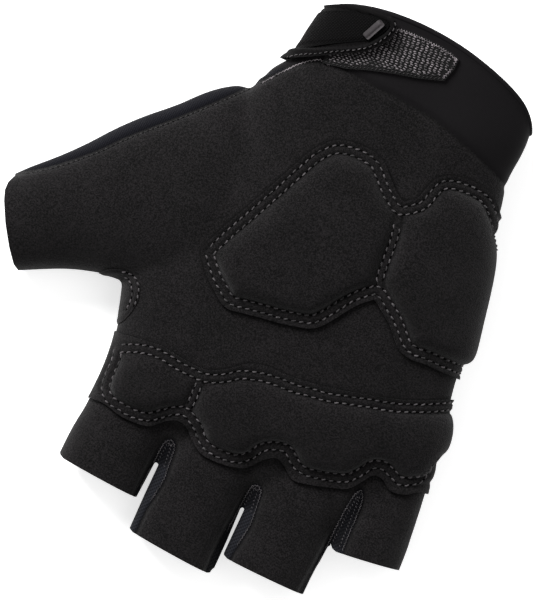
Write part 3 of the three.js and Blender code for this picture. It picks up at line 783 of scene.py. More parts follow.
outer_skin = surface(outer)
heart = np.array([np.mean(rim_line[10:-8, 0]), CUFF_LIFT + PALM_HEIGHT * 0.45])
rim_points = []
for turn in np.linspace(0, 2 * np.pi, 200, endpoint=False):
    out = np.array([math.cos(turn), 0, math.sin(turn)])
    y = rim_height(heart[0])
    for _ in range(6):
        hit, normal = shot(outer_skin, np.array([heart[0], y, heart[1]]) + out * 90, -out)
        y = rim_height(hit[0])
    rim_points.append((np.array([hit[0], y - BINDING_WIDTH / 2, hit[2]]), normal))
frames = []
for point, normal in rim_points:
    slope = rim_height(point[0] + 1) - rim_height(point[0] - 1)
    along = np.array([-slope / 2, 1, 0])
    along /= np.linalg.norm(along)
    out = normal - along * (normal @ along)
    frames.append((out / np.linalg.norm(out), along))
turn = np.linspace(0, 2 * np.pi, 20, endpoint=False)
roll = np.column_stack([
    1.0 * np.sign(np.cos(turn)) * abs(np.cos(turn)) ** 0.8,
    0.8 * np.sign(np.sin(turn)) * abs(np.sin(turn)) ** 0.8,
])
path = [point - out * WALL / 2 for (point, _), (out, _) in zip(rim_points, frames)]
binding = swept(path, frames, roll, "cuff_binding_roll")
dressed(binding, cuff_cloth, "cuff_fabric", "cuff_binding", crease=1.2)

# Padded overlays
# Two suede overlays are sewn on the palm with double rows, over foam pads that swell inside the
# rows. Their edges are cut raw just outside the seam, and both run over the little finger's side.

OVERLAY_THICKNESS = 0.85
SEAM_MARGIN = 2.6
ROW_OFFSET = 1.1
HEEL_RISE = 2.7
KNUCKLE_RISE = 2.1
PAD_START = 1.6
# from the upper row, the lower row and the divider
PAD_SLOPES = (2.6, 1.25, 1.8)
OVERLAY_VOXEL = 0.5
HEEL_TOP = [
    (0.148, 0.394), (0.178, 0.449), (0.21, 0.501), (0.245, 0.559), (0.276, 0.613), (0.303, 0.658),
    (0.33, 0.686), (0.356, 0.699), (0.403, 0.706), (0.454, 0.701), (0.485, 0.683), (0.516, 0.661),
    (0.554, 0.641), (0.575, 0.637), (0.607, 0.652), (0.629, 0.671), (0.638, 0.694), (0.648, 0.716),
    (0.671, 0.729), (0.708, 0.735), (0.746, 0.735), (0.781, 0.728), (0.823, 0.701), (0.881, 0.661),
    (1.04, 0.61),
]
HEEL_BOTTOM = [
    (0.148, 0.394), (0.187, 0.361), (0.22, 0.342), (0.254, 0.325), (0.291, 0.328), (0.347, 0.336),
    (0.398, 0.342), (0.445, 0.35), (0.483, 0.36), (0.51, 0.383), (0.532, 0.409), (0.558, 0.436),
    (0.586, 0.457), (0.616, 0.469), (0.665, 0.447), (0.697, 0.43), (0.721, 0.413), (0.746, 0.395),
    (0.775, 0.389), (0.814, 0.392), (0.854, 0.392), (0.898, 0.393), (0.939, 0.394), (1.04, 0.4),
]
HEEL_DIVIDER = [(0.575, 0.637), (0.591, 0.585), (0.597, 0.539), (0.602, 0.498), (0.616, 0.469)]
KNUCKLE_TOP = [
    (0.031, 0.135), (0.081, 0.153), (0.119, 0.16), (0.157, 0.161), (0.198, 0.157), (0.237, 0.156),
    (0.275, 0.156), (0.312, 0.165), (0.339, 0.177), (0.367, 0.193), (0.403, 0.203), (0.437, 0.21),
    (0.478, 0.213), (0.52, 0.215), (0.563, 0.221), (0.61, 0.227), (0.67, 0.24), (0.722, 0.252),
    (0.79, 0.266), (0.855, 0.286), (0.917, 0.308), (0.987, 0.332), (1.04, 0.35),
]
KNUCKLE_BOTTOM = [
    (0.031, 0.135), (0.038, 0.113), (0.039, 0.088), (0.041, 0.066), (0.047, 0.048), (0.064, 0.035),
    (0.083, 0.03), (0.121, 0.027), (0.159, 0.028), (0.187, 0.034), (0.216, 0.052), (0.248, 0.07),
    (0.274, 0.076), (0.299, 0.068), (0.325, 0.056), (0.349, 0.038), (0.378, 0.028), (0.419, 0.027),
    (0.458, 0.033), (0.486, 0.051), (0.505, 0.075), (0.534, 0.09), (0.572, 0.095), (0.599, 0.081),
    (0.629, 0.07), (0.669, 0.072), (0.714, 0.081), (0.757, 0.094), (0.784, 0.119), (0.804, 0.141),
    (0.834, 0.148), (0.862, 0.141), (0.895, 0.133), (0.931, 0.143), (0.959, 0.16), (0.967, 0.182),
    (0.975, 0.21),
]
KNUCKLE_DIVIDER = [(0.275, 0.156), (0.276, 0.13), (0.277, 0.105), (0.274, 0.076)]
KNUCKLE_EDGE = [
    (-0.06, 0.02), (0.051, 0.02), (0.115, 0.011), (0.174, 0.012), (0.204, 0.019), (0.237, 0.042),
    (0.266, 0.052), (0.293, 0.047), (0.323, 0.027), (0.363, 0.01), (0.422, 0.009), (0.476, 0.017),
    (0.502, 0.032), (0.524, 0.053), (0.555, 0.068), (0.583, 0.06), (0.619, 0.042), (0.658, 0.045),
    (0.73, 0.061), (0.77, 0.073), (0.796, 0.097), (0.816, 0.119), (0.845, 0.121), (0.878, 0.106),
    (0.921, 0.112), (0.958, 0.129), (1.06, 0.16), (1.06, 0.36), (0.936, 0.332), (0.859, 0.305),
    (0.79, 0.284), (0.707, 0.266), (0.623, 0.25), (0.548, 0.239), (0.481, 0.233), (0.423, 0.232),
    (0.372, 0.22), (0.325, 0.192), (0.273, 0.172), (0.202, 0.173), (0.14, 0.178), (0.084, 0.173),
    (0.02, 0.165), (-0.06, 0.15),
]
heel_top, heel_bottom, heel_divider, knuckle_top, knuckle_bottom, knuckle_divider = (
    spline(plan(line), 6)
    for line in (HEEL_TOP, HEEL_BOTTOM, HEEL_DIVIDER, KNUCKLE_TOP, KNUCKLE_BOTTOM, KNUCKLE_DIVIDER)
)
knuckle_edge = spline(plan(KNUCKLE_EDGE), 4, closed=True)


def widened(loop, margin):
    """The closed line moved outwards, without the points that would fold over."""
    area = np.sum(loop[:, 0] * np.roll(loop[:, 1], -1) - np.roll(loop[:, 0], -1) * loop[:, 1])
    along = np.roll(loop, -1, 0) - np.roll(loop, 1, 0)
    out = np.column_stack([along[:, 1], -along[:, 0]]) * np.sign(area)
    out /= np.maximum(np.linalg.norm(out, axis=1, keepdims=True), 1e-9)
    grown = loop + out * margin
    return grown[distance(grown, loop, closed=True) > abs(margin) * 0.985]


heel_outline = widened(np.vstack([heel_top, heel_bottom[::-1][:-1]]), SEAM_MARGIN)


def even_skin(source, outline, voxel, turns=6):
    """A fine skin over the part of a closed piece inside an outline, with a margin round it."""
    low, high = outline.min(0) - 6, outline.max(0) + 6
    block = prism(np.array([low, (high[0], low[1]), high, (low[0], high[1])]), -20, 60)
    part = trimmed(source, "part", ("INTERSECT", block))
    drop(block)
    return relaxed(part, voxel, turns)


def layer(name, source, outline, low, high, voxel, *cuts):
    """A layer between two heights over the source, inside an outline. Heights may vary over it."""
    skin = even_skin(source, outline, voxel)
    points, outward = places(skin), facing(skin)
    top = trimmed(skin, "top")
    for piece, height in ((skin, low), (top, high)):
        level = height(points) if callable(height) else np.full(len(points), height)
        moved(piece, points + outward * level[:, None])
    tool = prism(outline)
    piece = trimmed(top, name, ("INTERSECT", tool), ("DIFFERENCE", skin), *cuts)
    drop(skin, top, tool)
    return piece


def rows_sunk(points, lines):
    """How far a double row of stitches pulls the leather down, from 0 to 1."""
    apart = np.min([distance(points, line) for line in lines], axis=0)
    return bell(abs(apart) - ROW_OFFSET, 0.55)


thumb_side_run = plan((-0.02, 0))[0], plan((0.04, 0))[0]


def padded_height(lines, loops, edge, rise):
    """A pad rises softly from its upper row and from the divider, and steeply from its lower row."""
    def height(points):
        pulled = rows_sunk(points, lines)
        crown = rise * np.max([within(points, loop) for loop in loops], axis=0)
        for line, slope in zip(lines, PAD_SLOPES):
            inward = np.maximum(distance(points, line) - PAD_START, 0)
            crown = crown * (1 - np.exp(-inward / slope))
        inset = distance(points, edge, closed=True)
        lip = 0.2 * bell(inset, 0.7)
        turned_under = 0.3 + 0.7 * swell(points[:, 0], *thumb_side_run)
        flat = OVERLAY_THICKNESS * (0.8 + 0.2 * swell(inset, 0, 0.5)) + lip
        return 0.05 + flat * turned_under - 0.42 * pulled * turned_under + crown

    return height


def under_edge(edge):
    """The raw edge stands a little off the panel."""

    def height(points):
        lift = 0.2 * bell(distance(points, edge, closed=True), 0.6)
        return 0.03 + lift * swell(points[:, 0], *thumb_side_run)

    return height


# Painted shade in the grooves of the needle rows.
def needle_row_shade(lines):
    return lambda points: 0.55 * rows_sunk(points, lines)


def overlay(name, edge, lines, pads, rise):
    """A suede overlay that swells over its pads and is pulled in along its rows of stitches."""
    top = padded_height(lines, pads, edge, rise)
    piece = layer(name, outer, edge, under_edge(edge), top, OVERLAY_VOXEL, ("INTERSECT", upper_half))
    return paint_shade(piece, needle_row_shade(lines))


# The point of each line at which the divider meets it
HEEL_SPLIT = 13 * 6
heel_lines = (heel_top, heel_bottom, heel_divider)
thenar_pad = np.vstack([
    heel_top[: HEEL_SPLIT + 1], heel_divider[1:-1], heel_bottom[: HEEL_SPLIT + 1][::-1],
])
hypothenar_pad = np.vstack([
    heel_top[HEEL_SPLIT:], heel_bottom[HEEL_SPLIT:][::-1], heel_divider[::-1][1:-1],
])
heel_overlay = overlay(
    "heel_pad_overlay_suede", heel_outline, heel_lines, (thenar_pad, hypothenar_pad), HEEL_RISE
)
dressed(heel_overlay, suede, "suede", "heel_pad_overlay")
TOP_SPLIT = 6 * 6
BOTTOM_SPLIT = 12 * 6
knuckle_lines = (knuckle_top, knuckle_bottom, knuckle_divider)
small_pad = np.vstack([
    knuckle_top[: TOP_SPLIT + 1], knuckle_divider[1:-1], knuckle_bottom[: BOTTOM_SPLIT + 1][::-1],
])
long_pad = np.vstack([
    knuckle_top[TOP_SPLIT:], [plan((1.04, 0.25))], knuckle_bottom[BOTTOM_SPLIT:][::-1],
    knuckle_divider[::-1][1:-1],
])
knuckle_overlay = overlay(
    "knuckle_pad_overlay_suede", knuckle_edge, knuckle_lines, (small_pad, long_pad), KNUCKLE_RISE
)
dressed(knuckle_overlay, suede, "suede", "knuckle_pad_overlay")
# Painted shade on the palm along the overlays' raw edges and along its seams.
overlay_edge_shades = [along_line(edge, 0.42, 0.95, closed=True) for edge in (heel_outline, knuckle_edge)]
paint_shade(palm_panel, *seam_shades, *overlay_edge_shades)
dressed(palm_panel, suede, "suede", "palm_panel")

# Thumb web patch
# A suede patch is wrapped over the crotch between the thumb and the palm and sewn down twice.

THUMB_WEB_OUTLINE = [
    (-0.125, 0.21), (-0.105, 0.262), (-0.05, 0.286), (0.0, 0.28), (0.022, 0.25), (0.02, 0.215),
    (-0.002, 0.18), (-0.06, 0.16),
]
web_outline = spline(plan(THUMB_WEB_OUTLINE), 6, closed=True)


def patch_height(points):
    inset = distance(points, web_outline, closed=True)
    cut = swell(inset, 0, 0.6)
    sewn = bell(inset - 1.5, 0.6)
    return 0.25 + 0.3 * cut - 0.15 * sewn * swell(points[:, 2], 8, 12)


web_patch = layer("thumb_web_patch_suede", outer, web_outline, 0.03, patch_height, 0.6)
dressed(web_patch, suede, "suede", "thumb_web_patch")

# Stitching
# Pale thread lies on the leather in short straight stitches, and dives into a needle hole
# between each two: a flat dark pit whose colour is painted shade. Every row is a chain of such stitches
# laid on the finished surface.

STITCH_PITCH = 2.2
STITCH_LENGTH = 1.38
DIVIDER_OFFSET = 0.85
THREAD = 0.21


def thread_finish(name="stitch_thread", bright=0.07):
    cloth = Finish(name, sheen=0.2, specular=0.3)
    twist = cloth.noise(0.3, 2.0, 0.6)
    patchy = cloth.noise(2.1, 1.0, 0.5)
    tone = twist * 0.5 + (patchy - 0.5) * 2.4 + 0.25
    colour = tone.node("ShaderNodeClamp", None, {0: tone}).blend(grey(bright * 0.07), grey(bright))
    return cloth.finish(colour, 0.75, twist, 0.08, 0.6)


# The needle holes are flat dark pits, and their dark colour is painted shade.
def needle_hole_shade_finish():
    cloth = Finish("needle_hole_painted_shade", specular=0.05)
    dark = cloth.noise(0.5)
    return cloth.finish(dark.blend(grey(0.0003), grey(0.0012)), 1.0)


thread, hole_shade = thread_finish(), needle_hole_shade_finish()


def draped(line, skin):
    """The line laid on the skin: straight down, and fanned out where it runs over the side."""
    found = []
    for x, y in line:
        turn_at = np.interp(y, ulnar_y, ulnar_x) - 10
        lean = max(0.0, (x - turn_at) / 10)
        out = np.array([math.sin(lean), 0, math.cos(lean)])
        hit = shot(skin, np.array([min(x, turn_at), y, 9.0]) + out * 80, -out)
        if hit is not None:
            found.append(hit)
    return np.array([point for point, _ in found]), np.array([normal for _, normal in found])


def beside(line, offset):
    along = np.gradient(line, axis=0)
    out = np.column_stack([along[:, 1], -along[:, 0]])
    return line + offset * out / np.maximum(np.linalg.norm(out, axis=1, keepdims=True), 1e-9)


class Needlework:
    """Stitches and their needle holes, gathered until they are made into one piece."""

    def __init__(self):
        self.points, self.faces, self.kinds = [], [], []
        self.chance = np.random.default_rng(11)

    def spindle(self, spine, side, up, radii, kind, flatten=1.0, around=6):
        first = len(self.points)
        self.points.append(spine[0])
        for centre, radius in zip(spine[1:-1], radii):
            for i in range(around):
                turn = 2 * math.pi * i / around
                out = side * math.cos(turn) + up * flatten * math.sin(turn)
                self.points.append(centre + radius * out)
        self.points.append(spine[-1])
        last = len(self.points) - 1
        rings = len(spine) - 2
        new = [(first, first + 1 + (i + 1) % around, first + 1 + i) for i in range(around)]
        for r in range(rings - 1):
            for i in range(around):
                p, q = first + 1 + r * around + i, first + 1 + r * around + (i + 1) % around
                new.append((p, q, q + around, p + around))
        end = first + 1 + (rings - 1) * around
        new += [(last, end + i, end + (i + 1) % around) for i in range(around)]
        self.faces += new
        self.kinds += [kind] * len(new)

    def row(
        self, line, skin, pitch=STITCH_PITCH, length=STITCH_LENGTH, start=0.0, radius=THREAD, slant=0.12,
        ground=None, holes=True,
    ):
        """Stitches along a line on a skin, but for those lower than the ground."""
        points, normals = draped(line, skin)
        if len(points) < 3:
            return
        travelled = np.concatenate([[0], np.cumsum(np.linalg.norm(np.diff(points, axis=0), axis=1))])
        for at in np.arange(start, travelled[-1] - length, pitch):
            if ground is not None and points[:, 2].min() < ground:
                if np.interp(at, travelled, points[:, 2]) < ground:
                    continue

            def on(distance_along):
                return np.array([np.interp(distance_along, travelled, points[:, k]) for k in range(3)])

            normal = np.array([np.interp(at + length / 2, travelled, normals[:, k]) for k in range(3)])
            normal /= np.linalg.norm(normal)
            a, b = on(at), on(at + length)
            ahead = b - a
            ahead -= normal * (ahead @ normal)
            ahead /= max(np.linalg.norm(ahead), 1e-6)
            side = np.cross(normal, ahead)
            wander, tilt, swollen = self.chance.normal(0, (0.05, 0.05, 0.08))
            spine, radii = [], (0.8, 1.0, 1.0, 0.8)
            for share, lift in ((0, -0.3), (0.1, 0.0), (0.35, 0.16), (0.65, 0.16), (0.9, 0.0), (1, -0.3)):
                skew = side * ((share - 0.5) * 2 * (slant + tilt) + wander)
                spine.append(on(at + length * share) + normal * lift + skew)
            self.spindle(spine, side, normal, [radius * r * (1 + swollen) for r in radii], 0)
            if not holes:
                continue
            # The needle hole is a flat dark pit, its colour painted shade.
            middle = on(at + length + (pitch - length) / 2)
            half = (pitch - length) / 2 + 0.14
            pit = [middle + ahead * half * s for s in (-1, -0.6, 0, 0.6, 1)]
            self.spindle(pit, side, normal, (0.24, 0.3, 0.24), 1, flatten=0.22)

    def piece(self, name, slot, finish=None):
        mesh = bpy.data.meshes.new(name)
        mesh.from_pydata((np.array(self.points) * MM).tolist(), [], self.faces)
        mesh.materials.append(finish or thread)
        # The second material is the painted shade of the needle holes.
        mesh.materials.append(hole_shade)
        mesh.polygons.foreach_set("material_index", self.kinds)
        mesh.shade_smooth()
        piece = bpy.data.objects.new(name, mesh)
        bpy.context.scene.collection.objects.link(piece)
        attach(piece, "root")
        return piece


for name, padded_piece, (top, bottom, divider) in (
    ("heel_pad_stitches", heel_overlay, heel_lines),
    ("knuckle_pad_stitches", knuckle_overlay, knuckle_lines),
):
    work = Needlework()
    skin = surface(padded_piece)
    for line, apart in ((top, ROW_OFFSET), (bottom, ROW_OFFSET), (divider[3:-3], DIVIDER_OFFSET)):
        for offset, start in ((apart, 0.3), (-apart, 1.2)):
            work.row(beside(line, offset), skin, start=start, ground=9)
    work.piece(name, "suede")
web_skin = surface(web_patch)
WEB_OUTER_ROW = [
    (-0.051, 0.282), (-0.03, 0.285), (-0.009, 0.282), (0.008, 0.271), (0.017, 0.255),
    (0.021, 0.236), (0.018, 0.219),
]
WEB_INNER_ROW = [
    (-0.039, 0.275), (-0.021, 0.272), (-0.007, 0.261), (0.003, 0.246), (0.006, 0.228), (0.004, 0.211),
]
work = Needlework()
for line in (WEB_OUTER_ROW, WEB_INNER_ROW):
    work.row(spline(plan(line), 8), web_skin, pitch=1.9, length=1.2)
work.piece("thumb_web_stitches", "suede")

# The gussets are overlocked to the panels, so a fine ring of loops runs round each head and down
# the finger beside it. The knit strip of the thumb is sewn on the same way.
overlock_thread = thread_finish("overlock_thread", 0.06)
work = Needlework()
for web, gusset in enumerate(gussets):
    skin = surface(gusset)
    ring = gusset_outline(web, 0.45)[5:-3]
    for slant, start in ((0.22, 0.0), (-0.22, 0.4)):
        work.row(
            ring, skin, pitch=0.85, length=0.62, start=start, radius=0.1, slant=slant, ground=10,
            holes=False,
        )
    inner = gusset_outline(web, 1.5)[14:-12]
    work.row(inner, skin, pitch=1.0, length=0.6, radius=0.09, slant=0.3, ground=10, holes=False)
work.piece("gusset_overlock_stitches", "ribbed_knit", overlock_thread)
work = Needlework()
work.row(thumb_seam + [0.5, -0.6], surface(palm_panel), pitch=1.5, length=0.9, radius=0.1, ground=9)
work.piece("thumb_strip_stitches", "back_knit", thread_finish("dark_thread", 0.03))

# Wrist fastening
# A landing patch of looped mesh is sewn on the cuff, and a bound strap comes round from the back
# over the thumb side to close on it. The strap has a gridded face and a small rubber pull tab.

LOOP_PATCH_CORNERS = [
    (0.2, 0.89), (0.29, 0.968), (0.362, 0.976), (0.417, 0.979), (0.475, 0.978), (0.519, 0.974),
    (0.545, 0.968), (0.545, 0.944), (0.533, 0.915), (0.468, 0.898), (0.405, 0.886), (0.338, 0.871),
    (0.272, 0.853), (0.21, 0.845),
]
STRAP_OUTLINE = [
    (-0.05, 0.905), (0.04, 0.935), (0.13, 0.952), (0.21, 0.976), (0.29, 0.986), (0.335, 0.986),
    (0.355, 0.972), (0.348, 0.942), (0.306, 0.903), (0.225, 0.868), (0.1, 0.822), (-0.05, 0.795),
]
STRAP_FACE_OUTLINE = [
    (-0.04, 0.888), (0.056, 0.908), (0.14, 0.938), (0.206, 0.96), (0.257, 0.97), (0.295, 0.975),
    (0.324, 0.975), (0.332, 0.969), (0.329, 0.956), (0.311, 0.934), (0.293, 0.922), (0.252, 0.905),
    (0.207, 0.886), (0.158, 0.862), (0.105, 0.829), (-0.04, 0.8),
]
TAB_CENTRE = (0.2985, 0.948)
TAB_LENGTH = 6.3
TAB_WIDTH = 2.3
TAB_ANGLE = math.radians(66)
TAB_CORNER = 0.5
STRAP_TURN = (PALM_HEIGHT + CUFF_LIFT) / 2
STRAP_BEAD = 0.5
STRAP_RIDGE_RISE = 0.45
STRAP_RIDGE = [
    (0.106, 0.822), (0.137, 0.838), (0.198, 0.863), (0.239, 0.88), (0.279, 0.897), (0.31, 0.914),
    (0.338, 0.945), (0.347, 0.966), (0.345, 0.977), (0.334, 0.983),
]
LANDING_SEAM = [(0.082, 0.757), (0.122, 0.796), (0.161, 0.829), (0.199, 0.848), (0.233, 0.845)]
loop_outline = plan(LOOP_PATCH_CORNERS)
strap_outline = spline(plan(STRAP_OUTLINE), 5, closed=True)
face_outline = spline(plan(STRAP_FACE_OUTLINE), 5, closed=True)
strap_ridge = spline(plan(STRAP_RIDGE), 6)
landing_seam = spline(plan(LANDING_SEAM), 6)


def net_finish():
    cloth = Finish("loop_mesh_ground", sheen=0.1, specular=0.2)
    fuzz = cloth.noise(0.4, 3.0, 0.7)
    return cloth.finish(fuzz.blend(grey(0.0006), grey(0.0035)), 0.95, fuzz, 0.1, 0.8)


def webbing_finish():
    cloth = Finish("bound_webbing", sheen=0.02, specular=0.06)
    weave = cloth.wave(0.45, 0.9, 0.2) * 0.5 + cloth.wave(0.45, 0.9, 0.2, "Y") * 0.5
    fuzz = cloth.noise(0.4, 2.0, 0.6)
    # Painted shade: the crease attribute darkens the webbing in its groove and beside the face panel.
    tone = (weave * 0.5 + fuzz * 0.5) * (1 - cloth.crease * 0.9)
    return cloth.finish(tone.blend(grey(0.0005), grey(0.0052)), 0.85, weave, 0.08, 0.6)


def grid_finish():
    cloth = Finish("gridded_face_cloth", specular=0.05)
    grid = cloth.wave(0.62, 0.44) * cloth.wave(0.62, 0.44, 0.0, "Y")
    fuzz = cloth.noise(0.5, 2.0, 0.6)
    # Painted shade: the crease attribute darkens the face along its edge and round the tab.
    tone = (grid * 0.8 + fuzz * 0.2) * (1 - cloth.crease * 0.9)
    return cloth.finish(tone.blend(grey(0.0002), grey(0.0042)), 0.8, grid, 0.16, 0.9)


def rubber_finish():
    cloth = Finish("tab_rubber_grey", specular=0.15)
    bloom = cloth.noise(0.8, 3.0, 0.6)
    return cloth.finish(bloom.blend(grey(0.024), grey(0.04)), 0.5, bloom, 0.04, 0.4)


webbing = webbing_finish()
loop_patch = layer("loop_patch_ground", outer, loop_outline, 0.05, 0.85, 0.7, ("INTERSECT", upper_half))
dressed(loop_patch, net_finish(), "loop_mesh", "loop_patch")

# The landing mesh is a net of pale loops over the dark ground, in offset rows along the rim. It is
# overlocked along the rim and at its end, and lies under the strap at the other end.
NET_PITCH = 1.35
NET_ROW = 0.62
loop_skin = surface(loop_patch)
net_along = plan((0.545, 0.955)) - plan((0.25, 0.935))
net_along /= np.linalg.norm(net_along)
net_across = np.array([-net_along[1], net_along[0]])
work = Needlework()
for number, across in enumerate(np.arange(-9, 9, NET_ROW)):
    line = plan((0.38, 0.925)) + np.outer(np.arange(-20, 20, 0.4), net_along) + across * net_across
    inside = within(line, loop_outline) & (distance(line, loop_outline, closed=True) > 1.0)
    if inside.sum() > 5:
        start = (number % 2) * NET_PITCH / 2
        work.row(
            line[inside], loop_skin, pitch=NET_PITCH, length=0.92, start=start, radius=0.17, slant=-0.05,
            holes=False,
        )
work.piece("loop_patch_net", "loop_mesh", thread_finish("loop_net_thread", 0.2))
work = Needlework()
rim_side = spline(plan(LOOP_PATCH_CORNERS[1:7]), 6)
end_side = spline(plan(LOOP_PATCH_CORNERS[6:9]), 6)
low_side = spline(plan(LOOP_PATCH_CORNERS[8:]), 6)
for line, lean, start in (
    (rim_side, 0.42, 0.0), (rim_side, -0.42, 0.35), (end_side, 0.4, 0.0), (end_side, -0.4, 0.4),
):
    work.row(
        beside(line, 0.75), loop_skin, pitch=0.75, length=0.5, start=start, radius=0.11, slant=lean,
        holes=False,
    )
work.piece("loop_patch_overlock", "loop_mesh", thread_finish("pale_overlock_thread", 0.38))
work = Needlework()
for inset in (0.6, 1.3):
    line = beside(low_side, inset)
    work.row(line, loop_skin, pitch=1.1, length=0.6, radius=0.11, slant=0.2, holes=False)
work.piece("loop_patch_edge_stitches", "loop_mesh", thread_finish("dark_edge_thread", 0.05))


def strap_lift(points):
    """The free end of the strap stands a little off the patch."""
    tip = plan((0.35, 0.96))
    return 1.2 * swell(14 - np.linalg.norm(points[:, :2] - tip, axis=1), 0, 14)


def strap_low(points):
    """The strap lies flat on the cuff at the thumb side and steps up on the patch."""
    left, right = plan((0.1, 0))[0], plan((0.24, 0))[0]
    low_edge, rim_edge = plan((0, 0.83))[1], plan((0, 0.9))[1]
    over_patch = swell(points[:, 0], left, right)
    loose = 0.9 * swell(points[:, 1], low_edge, rim_edge) * (1 - over_patch) * (points[:, 2] > 5)
    return 0.25 + 0.7 * over_patch + loose + strap_lift(points)


def strap_thickness(points):
    left, right = plan((0.05, 0))[0], plan((0.2, 0))[0]
    return 0.85 + 0.3 * swell(points[:, 0], left, right)


def strap_high(points):
    edge = distance(points, strap_outline, closed=True)
    bead = STRAP_BEAD * np.sqrt(np.clip(1 - ((edge - 0.8) / 0.85) ** 2, 0, 1))
    ridge = STRAP_RIDGE_RISE * bell(distance(points, strap_ridge), 0.55)
    return strap_low(points) + strap_thickness(points) + bead + ridge - 0.3 * bell(edge - 1.8, 0.3)


front_strap = prism(strap_outline, STRAP_TURN, 90)
back_band = np.vstack([
    plan([(-0.3, 0.81), (0.1, 0.822), (0.36, 0.84)]), plan([(0.36, 0.95), (0.1, 0.944), (-0.3, 0.93)]),
])
strap_space = trimmed(front_strap, "strap_space", ("UNION", prism(back_band, -60, STRAP_TURN + 0.3)))
strap_room = np.array([plan((-0.12, 0.74)), plan((0.45, 0.74)), plan((0.45, 1.03)), plan((-0.12, 1.03))])
strap = layer(
    "wrist_strap_bound", outer, strap_room, strap_low, strap_high, 0.55, ("INTERSECT", strap_space)
)


def bead_groove_shade(points):
    """Painted shade in the groove along the inner side of the strap's bound edge."""
    return 0.6 * bell(distance(points, strap_outline, closed=True) - 1.8, 0.4)


# Painted shade along the face panel's edge and in the bead's groove.
paint_shade(strap, along_line(face_outline, 0.5, 0.95, closed=True), bead_groove_shade)
dressed(strap, webbing, "strap_fabric", "wrist_strap")
cosine, sine = math.cos(TAB_ANGLE), math.sin(TAB_ANGLE)
turn = np.array([[cosine, sine], [-sine, cosine]])
corner = np.linspace(0, np.pi / 2, 5)
tab_outline = []
for sx, sy, base in ((1, 1, 0), (-1, 1, 1), (-1, -1, 2), (1, -1, 3)):
    for angle in corner + base * np.pi / 2:
        x = sx * (TAB_LENGTH / 2 - TAB_CORNER) + TAB_CORNER * math.cos(angle)
        y = sy * (TAB_WIDTH / 2 - TAB_CORNER) + TAB_CORNER * math.sin(angle)
        tab_outline.append((x, y))
tab_outline = np.array(tab_outline) @ turn + plan(TAB_CENTRE)


def face_high(points):
    cut = swell(distance(points, face_outline, closed=True), 0, 0.5)
    return strap_low(points) + strap_thickness(points) + 0.3 * cut


def face_low(points):
    return strap_low(points) + 0.6


def tab_high(points):
    rounded = 1 - swell(distance(points, tab_outline, closed=True), 0, 0.45)
    return strap_low(points) + 2.1 - 0.35 * rounded


front_half = prism(flat_square, STRAP_TURN, 90)
tab_hole = prism(tab_outline)
strap_face = layer(
    "strap_face_gridded", outer, face_outline, face_low, face_high, 0.5, ("INTERSECT", front_half),
    ("DIFFERENCE", tab_hole),
)
# Painted shade round the tab and along the face panel's edge.
tab_edge_shade = along_line(tab_outline, 0.4, 0.8, closed=True)
paint_shade(strap_face, along_line(face_outline, 0.45, 0.9, closed=True), tab_edge_shade)
dressed(strap_face, grid_finish(), "strap_grid", "strap_face")
strap_tab = layer(
    "strap_tab_rubber", outer, tab_outline, face_low, tab_high, 0.3, ("INTERSECT", front_half)
)
dressed(strap_tab, rubber_finish(), "tab_rubber", "strap_tab")

work = Needlework()
strap_skin = surface(strap)
for shift, start in ((0.0, 0.0), (1.1, 0.8)):
    work.row(
        beside(strap_ridge, shift), strap_skin, pitch=1.6, length=1.15, start=start, radius=0.14,
        ground=STRAP_TURN,
    )
work.piece("strap_stitches", "strap_fabric", thread_finish("strap_thread", 0.07))
work = Needlework()
seam_skin = surface(palm_panel, cuff)
for slant, start in ((0.3, 0.0), (-0.25, 0.5)):
    work.row(
        landing_seam, seam_skin, pitch=1.05, length=0.75, start=start, radius=0.13, slant=slant, holes=False
    )
work.piece("landing_seam_stitches", "cuff_fabric", thread_finish("landing_thread", 0.3))

# Studio
# A plain pale floor that glows like a light table, and soft light from all round. The camera is
# straight above, at the angle and the scale of the photograph.

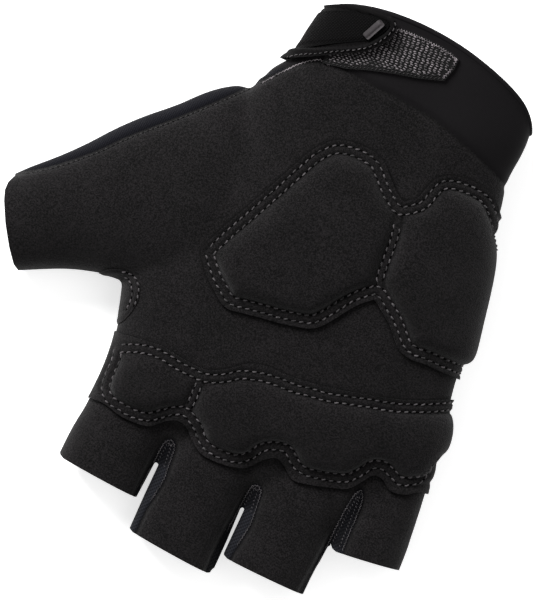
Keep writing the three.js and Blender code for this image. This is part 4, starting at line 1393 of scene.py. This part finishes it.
FLOOR_GLOW = 0.62
SKY = 0.4
floor_mesh = bpy.data.meshes.new("floor")
floor_mesh.from_pydata([(-3, -3, 0), (3, -3, 0), (3, 3, 0), (-3, 3, 0)], [], [(0, 1, 2, 3)])
floor = bpy.data.objects.new("floor", floor_mesh)
bpy.context.scene.collection.objects.link(floor)
paper = Finish("pale_floor", specular=0.1)
paper_tone = paper.noise(400.0)
floor_mesh.materials.append(paper.finish(paper_tone.blend(grey(0.9, 0), grey(0.93, 0)), 0.9))
paper.shader.inputs["Emission Color"].default_value = (1, 1, 1, 1)
paper.shader.inputs["Emission Strength"].default_value = FLOOR_GLOW


def softbox(name, place, aim, size, power):
    light = bpy.data.lights.new(name, "AREA")
    light.shape = "SQUARE"
    light.size = size
    light.energy = power
    lamp = bpy.data.objects.new(name, light)
    lamp.location = place
    lamp.rotation_euler = (Vector(aim) - Vector(place)).to_track_quat("-Z", "Y").to_euler()
    bpy.context.scene.collection.objects.link(lamp)


softbox("key", (-1.05, 0.85, 0.88), (0, 0, 0), 0.8, 48)
softbox("fill", (0.9, 0.2, 1.3), (0, 0, 0), 1.2, 5)
world = bpy.context.scene.world or bpy.data.worlds.new("studio")
bpy.context.scene.world = world
world.use_nodes = True
world.node_tree.nodes["Background"].inputs["Color"].default_value = (1, 1, 1, 1)
world.node_tree.nodes["Background"].inputs["Strength"].default_value = SKY

PHOTO_TURN = math.radians(25)
PHOTO_HEIGHT = 168.0
PHOTO_CENTRE = (7.65, -5.49)
CAMERA_HEIGHT = 1200.0
camera_data = bpy.data.cameras.new("camera")
camera_data.sensor_width = 36
camera_data.lens = 36 * CAMERA_HEIGHT / PHOTO_HEIGHT
camera_data.clip_start = 0.1
camera_data.clip_end = 10
camera = bpy.data.objects.new("camera", camera_data)
camera.location = (PHOTO_CENTRE[0] * MM, PHOTO_CENTRE[1] * MM, (CAMERA_HEIGHT + 10) * MM)
camera.rotation_euler = (0, 0, PHOTO_TURN)
bpy.context.scene.collection.objects.link(camera)
bpy.context.scene.camera = camera
bpy.context.scene.view_settings.view_transform = "Standard"

# The tools and rough bodies that the pieces were cut from aren't part of the glove
CUTTING_NAMES = ("prism", "tube", "hand", "wall", "body", "back_space", "strap_space", "part", "top")
for piece in list(bpy.context.scene.objects):
    if piece.type == "MESH" and piece.name.split(".")[0] in CUTTING_NAMES:
        drop(piece)
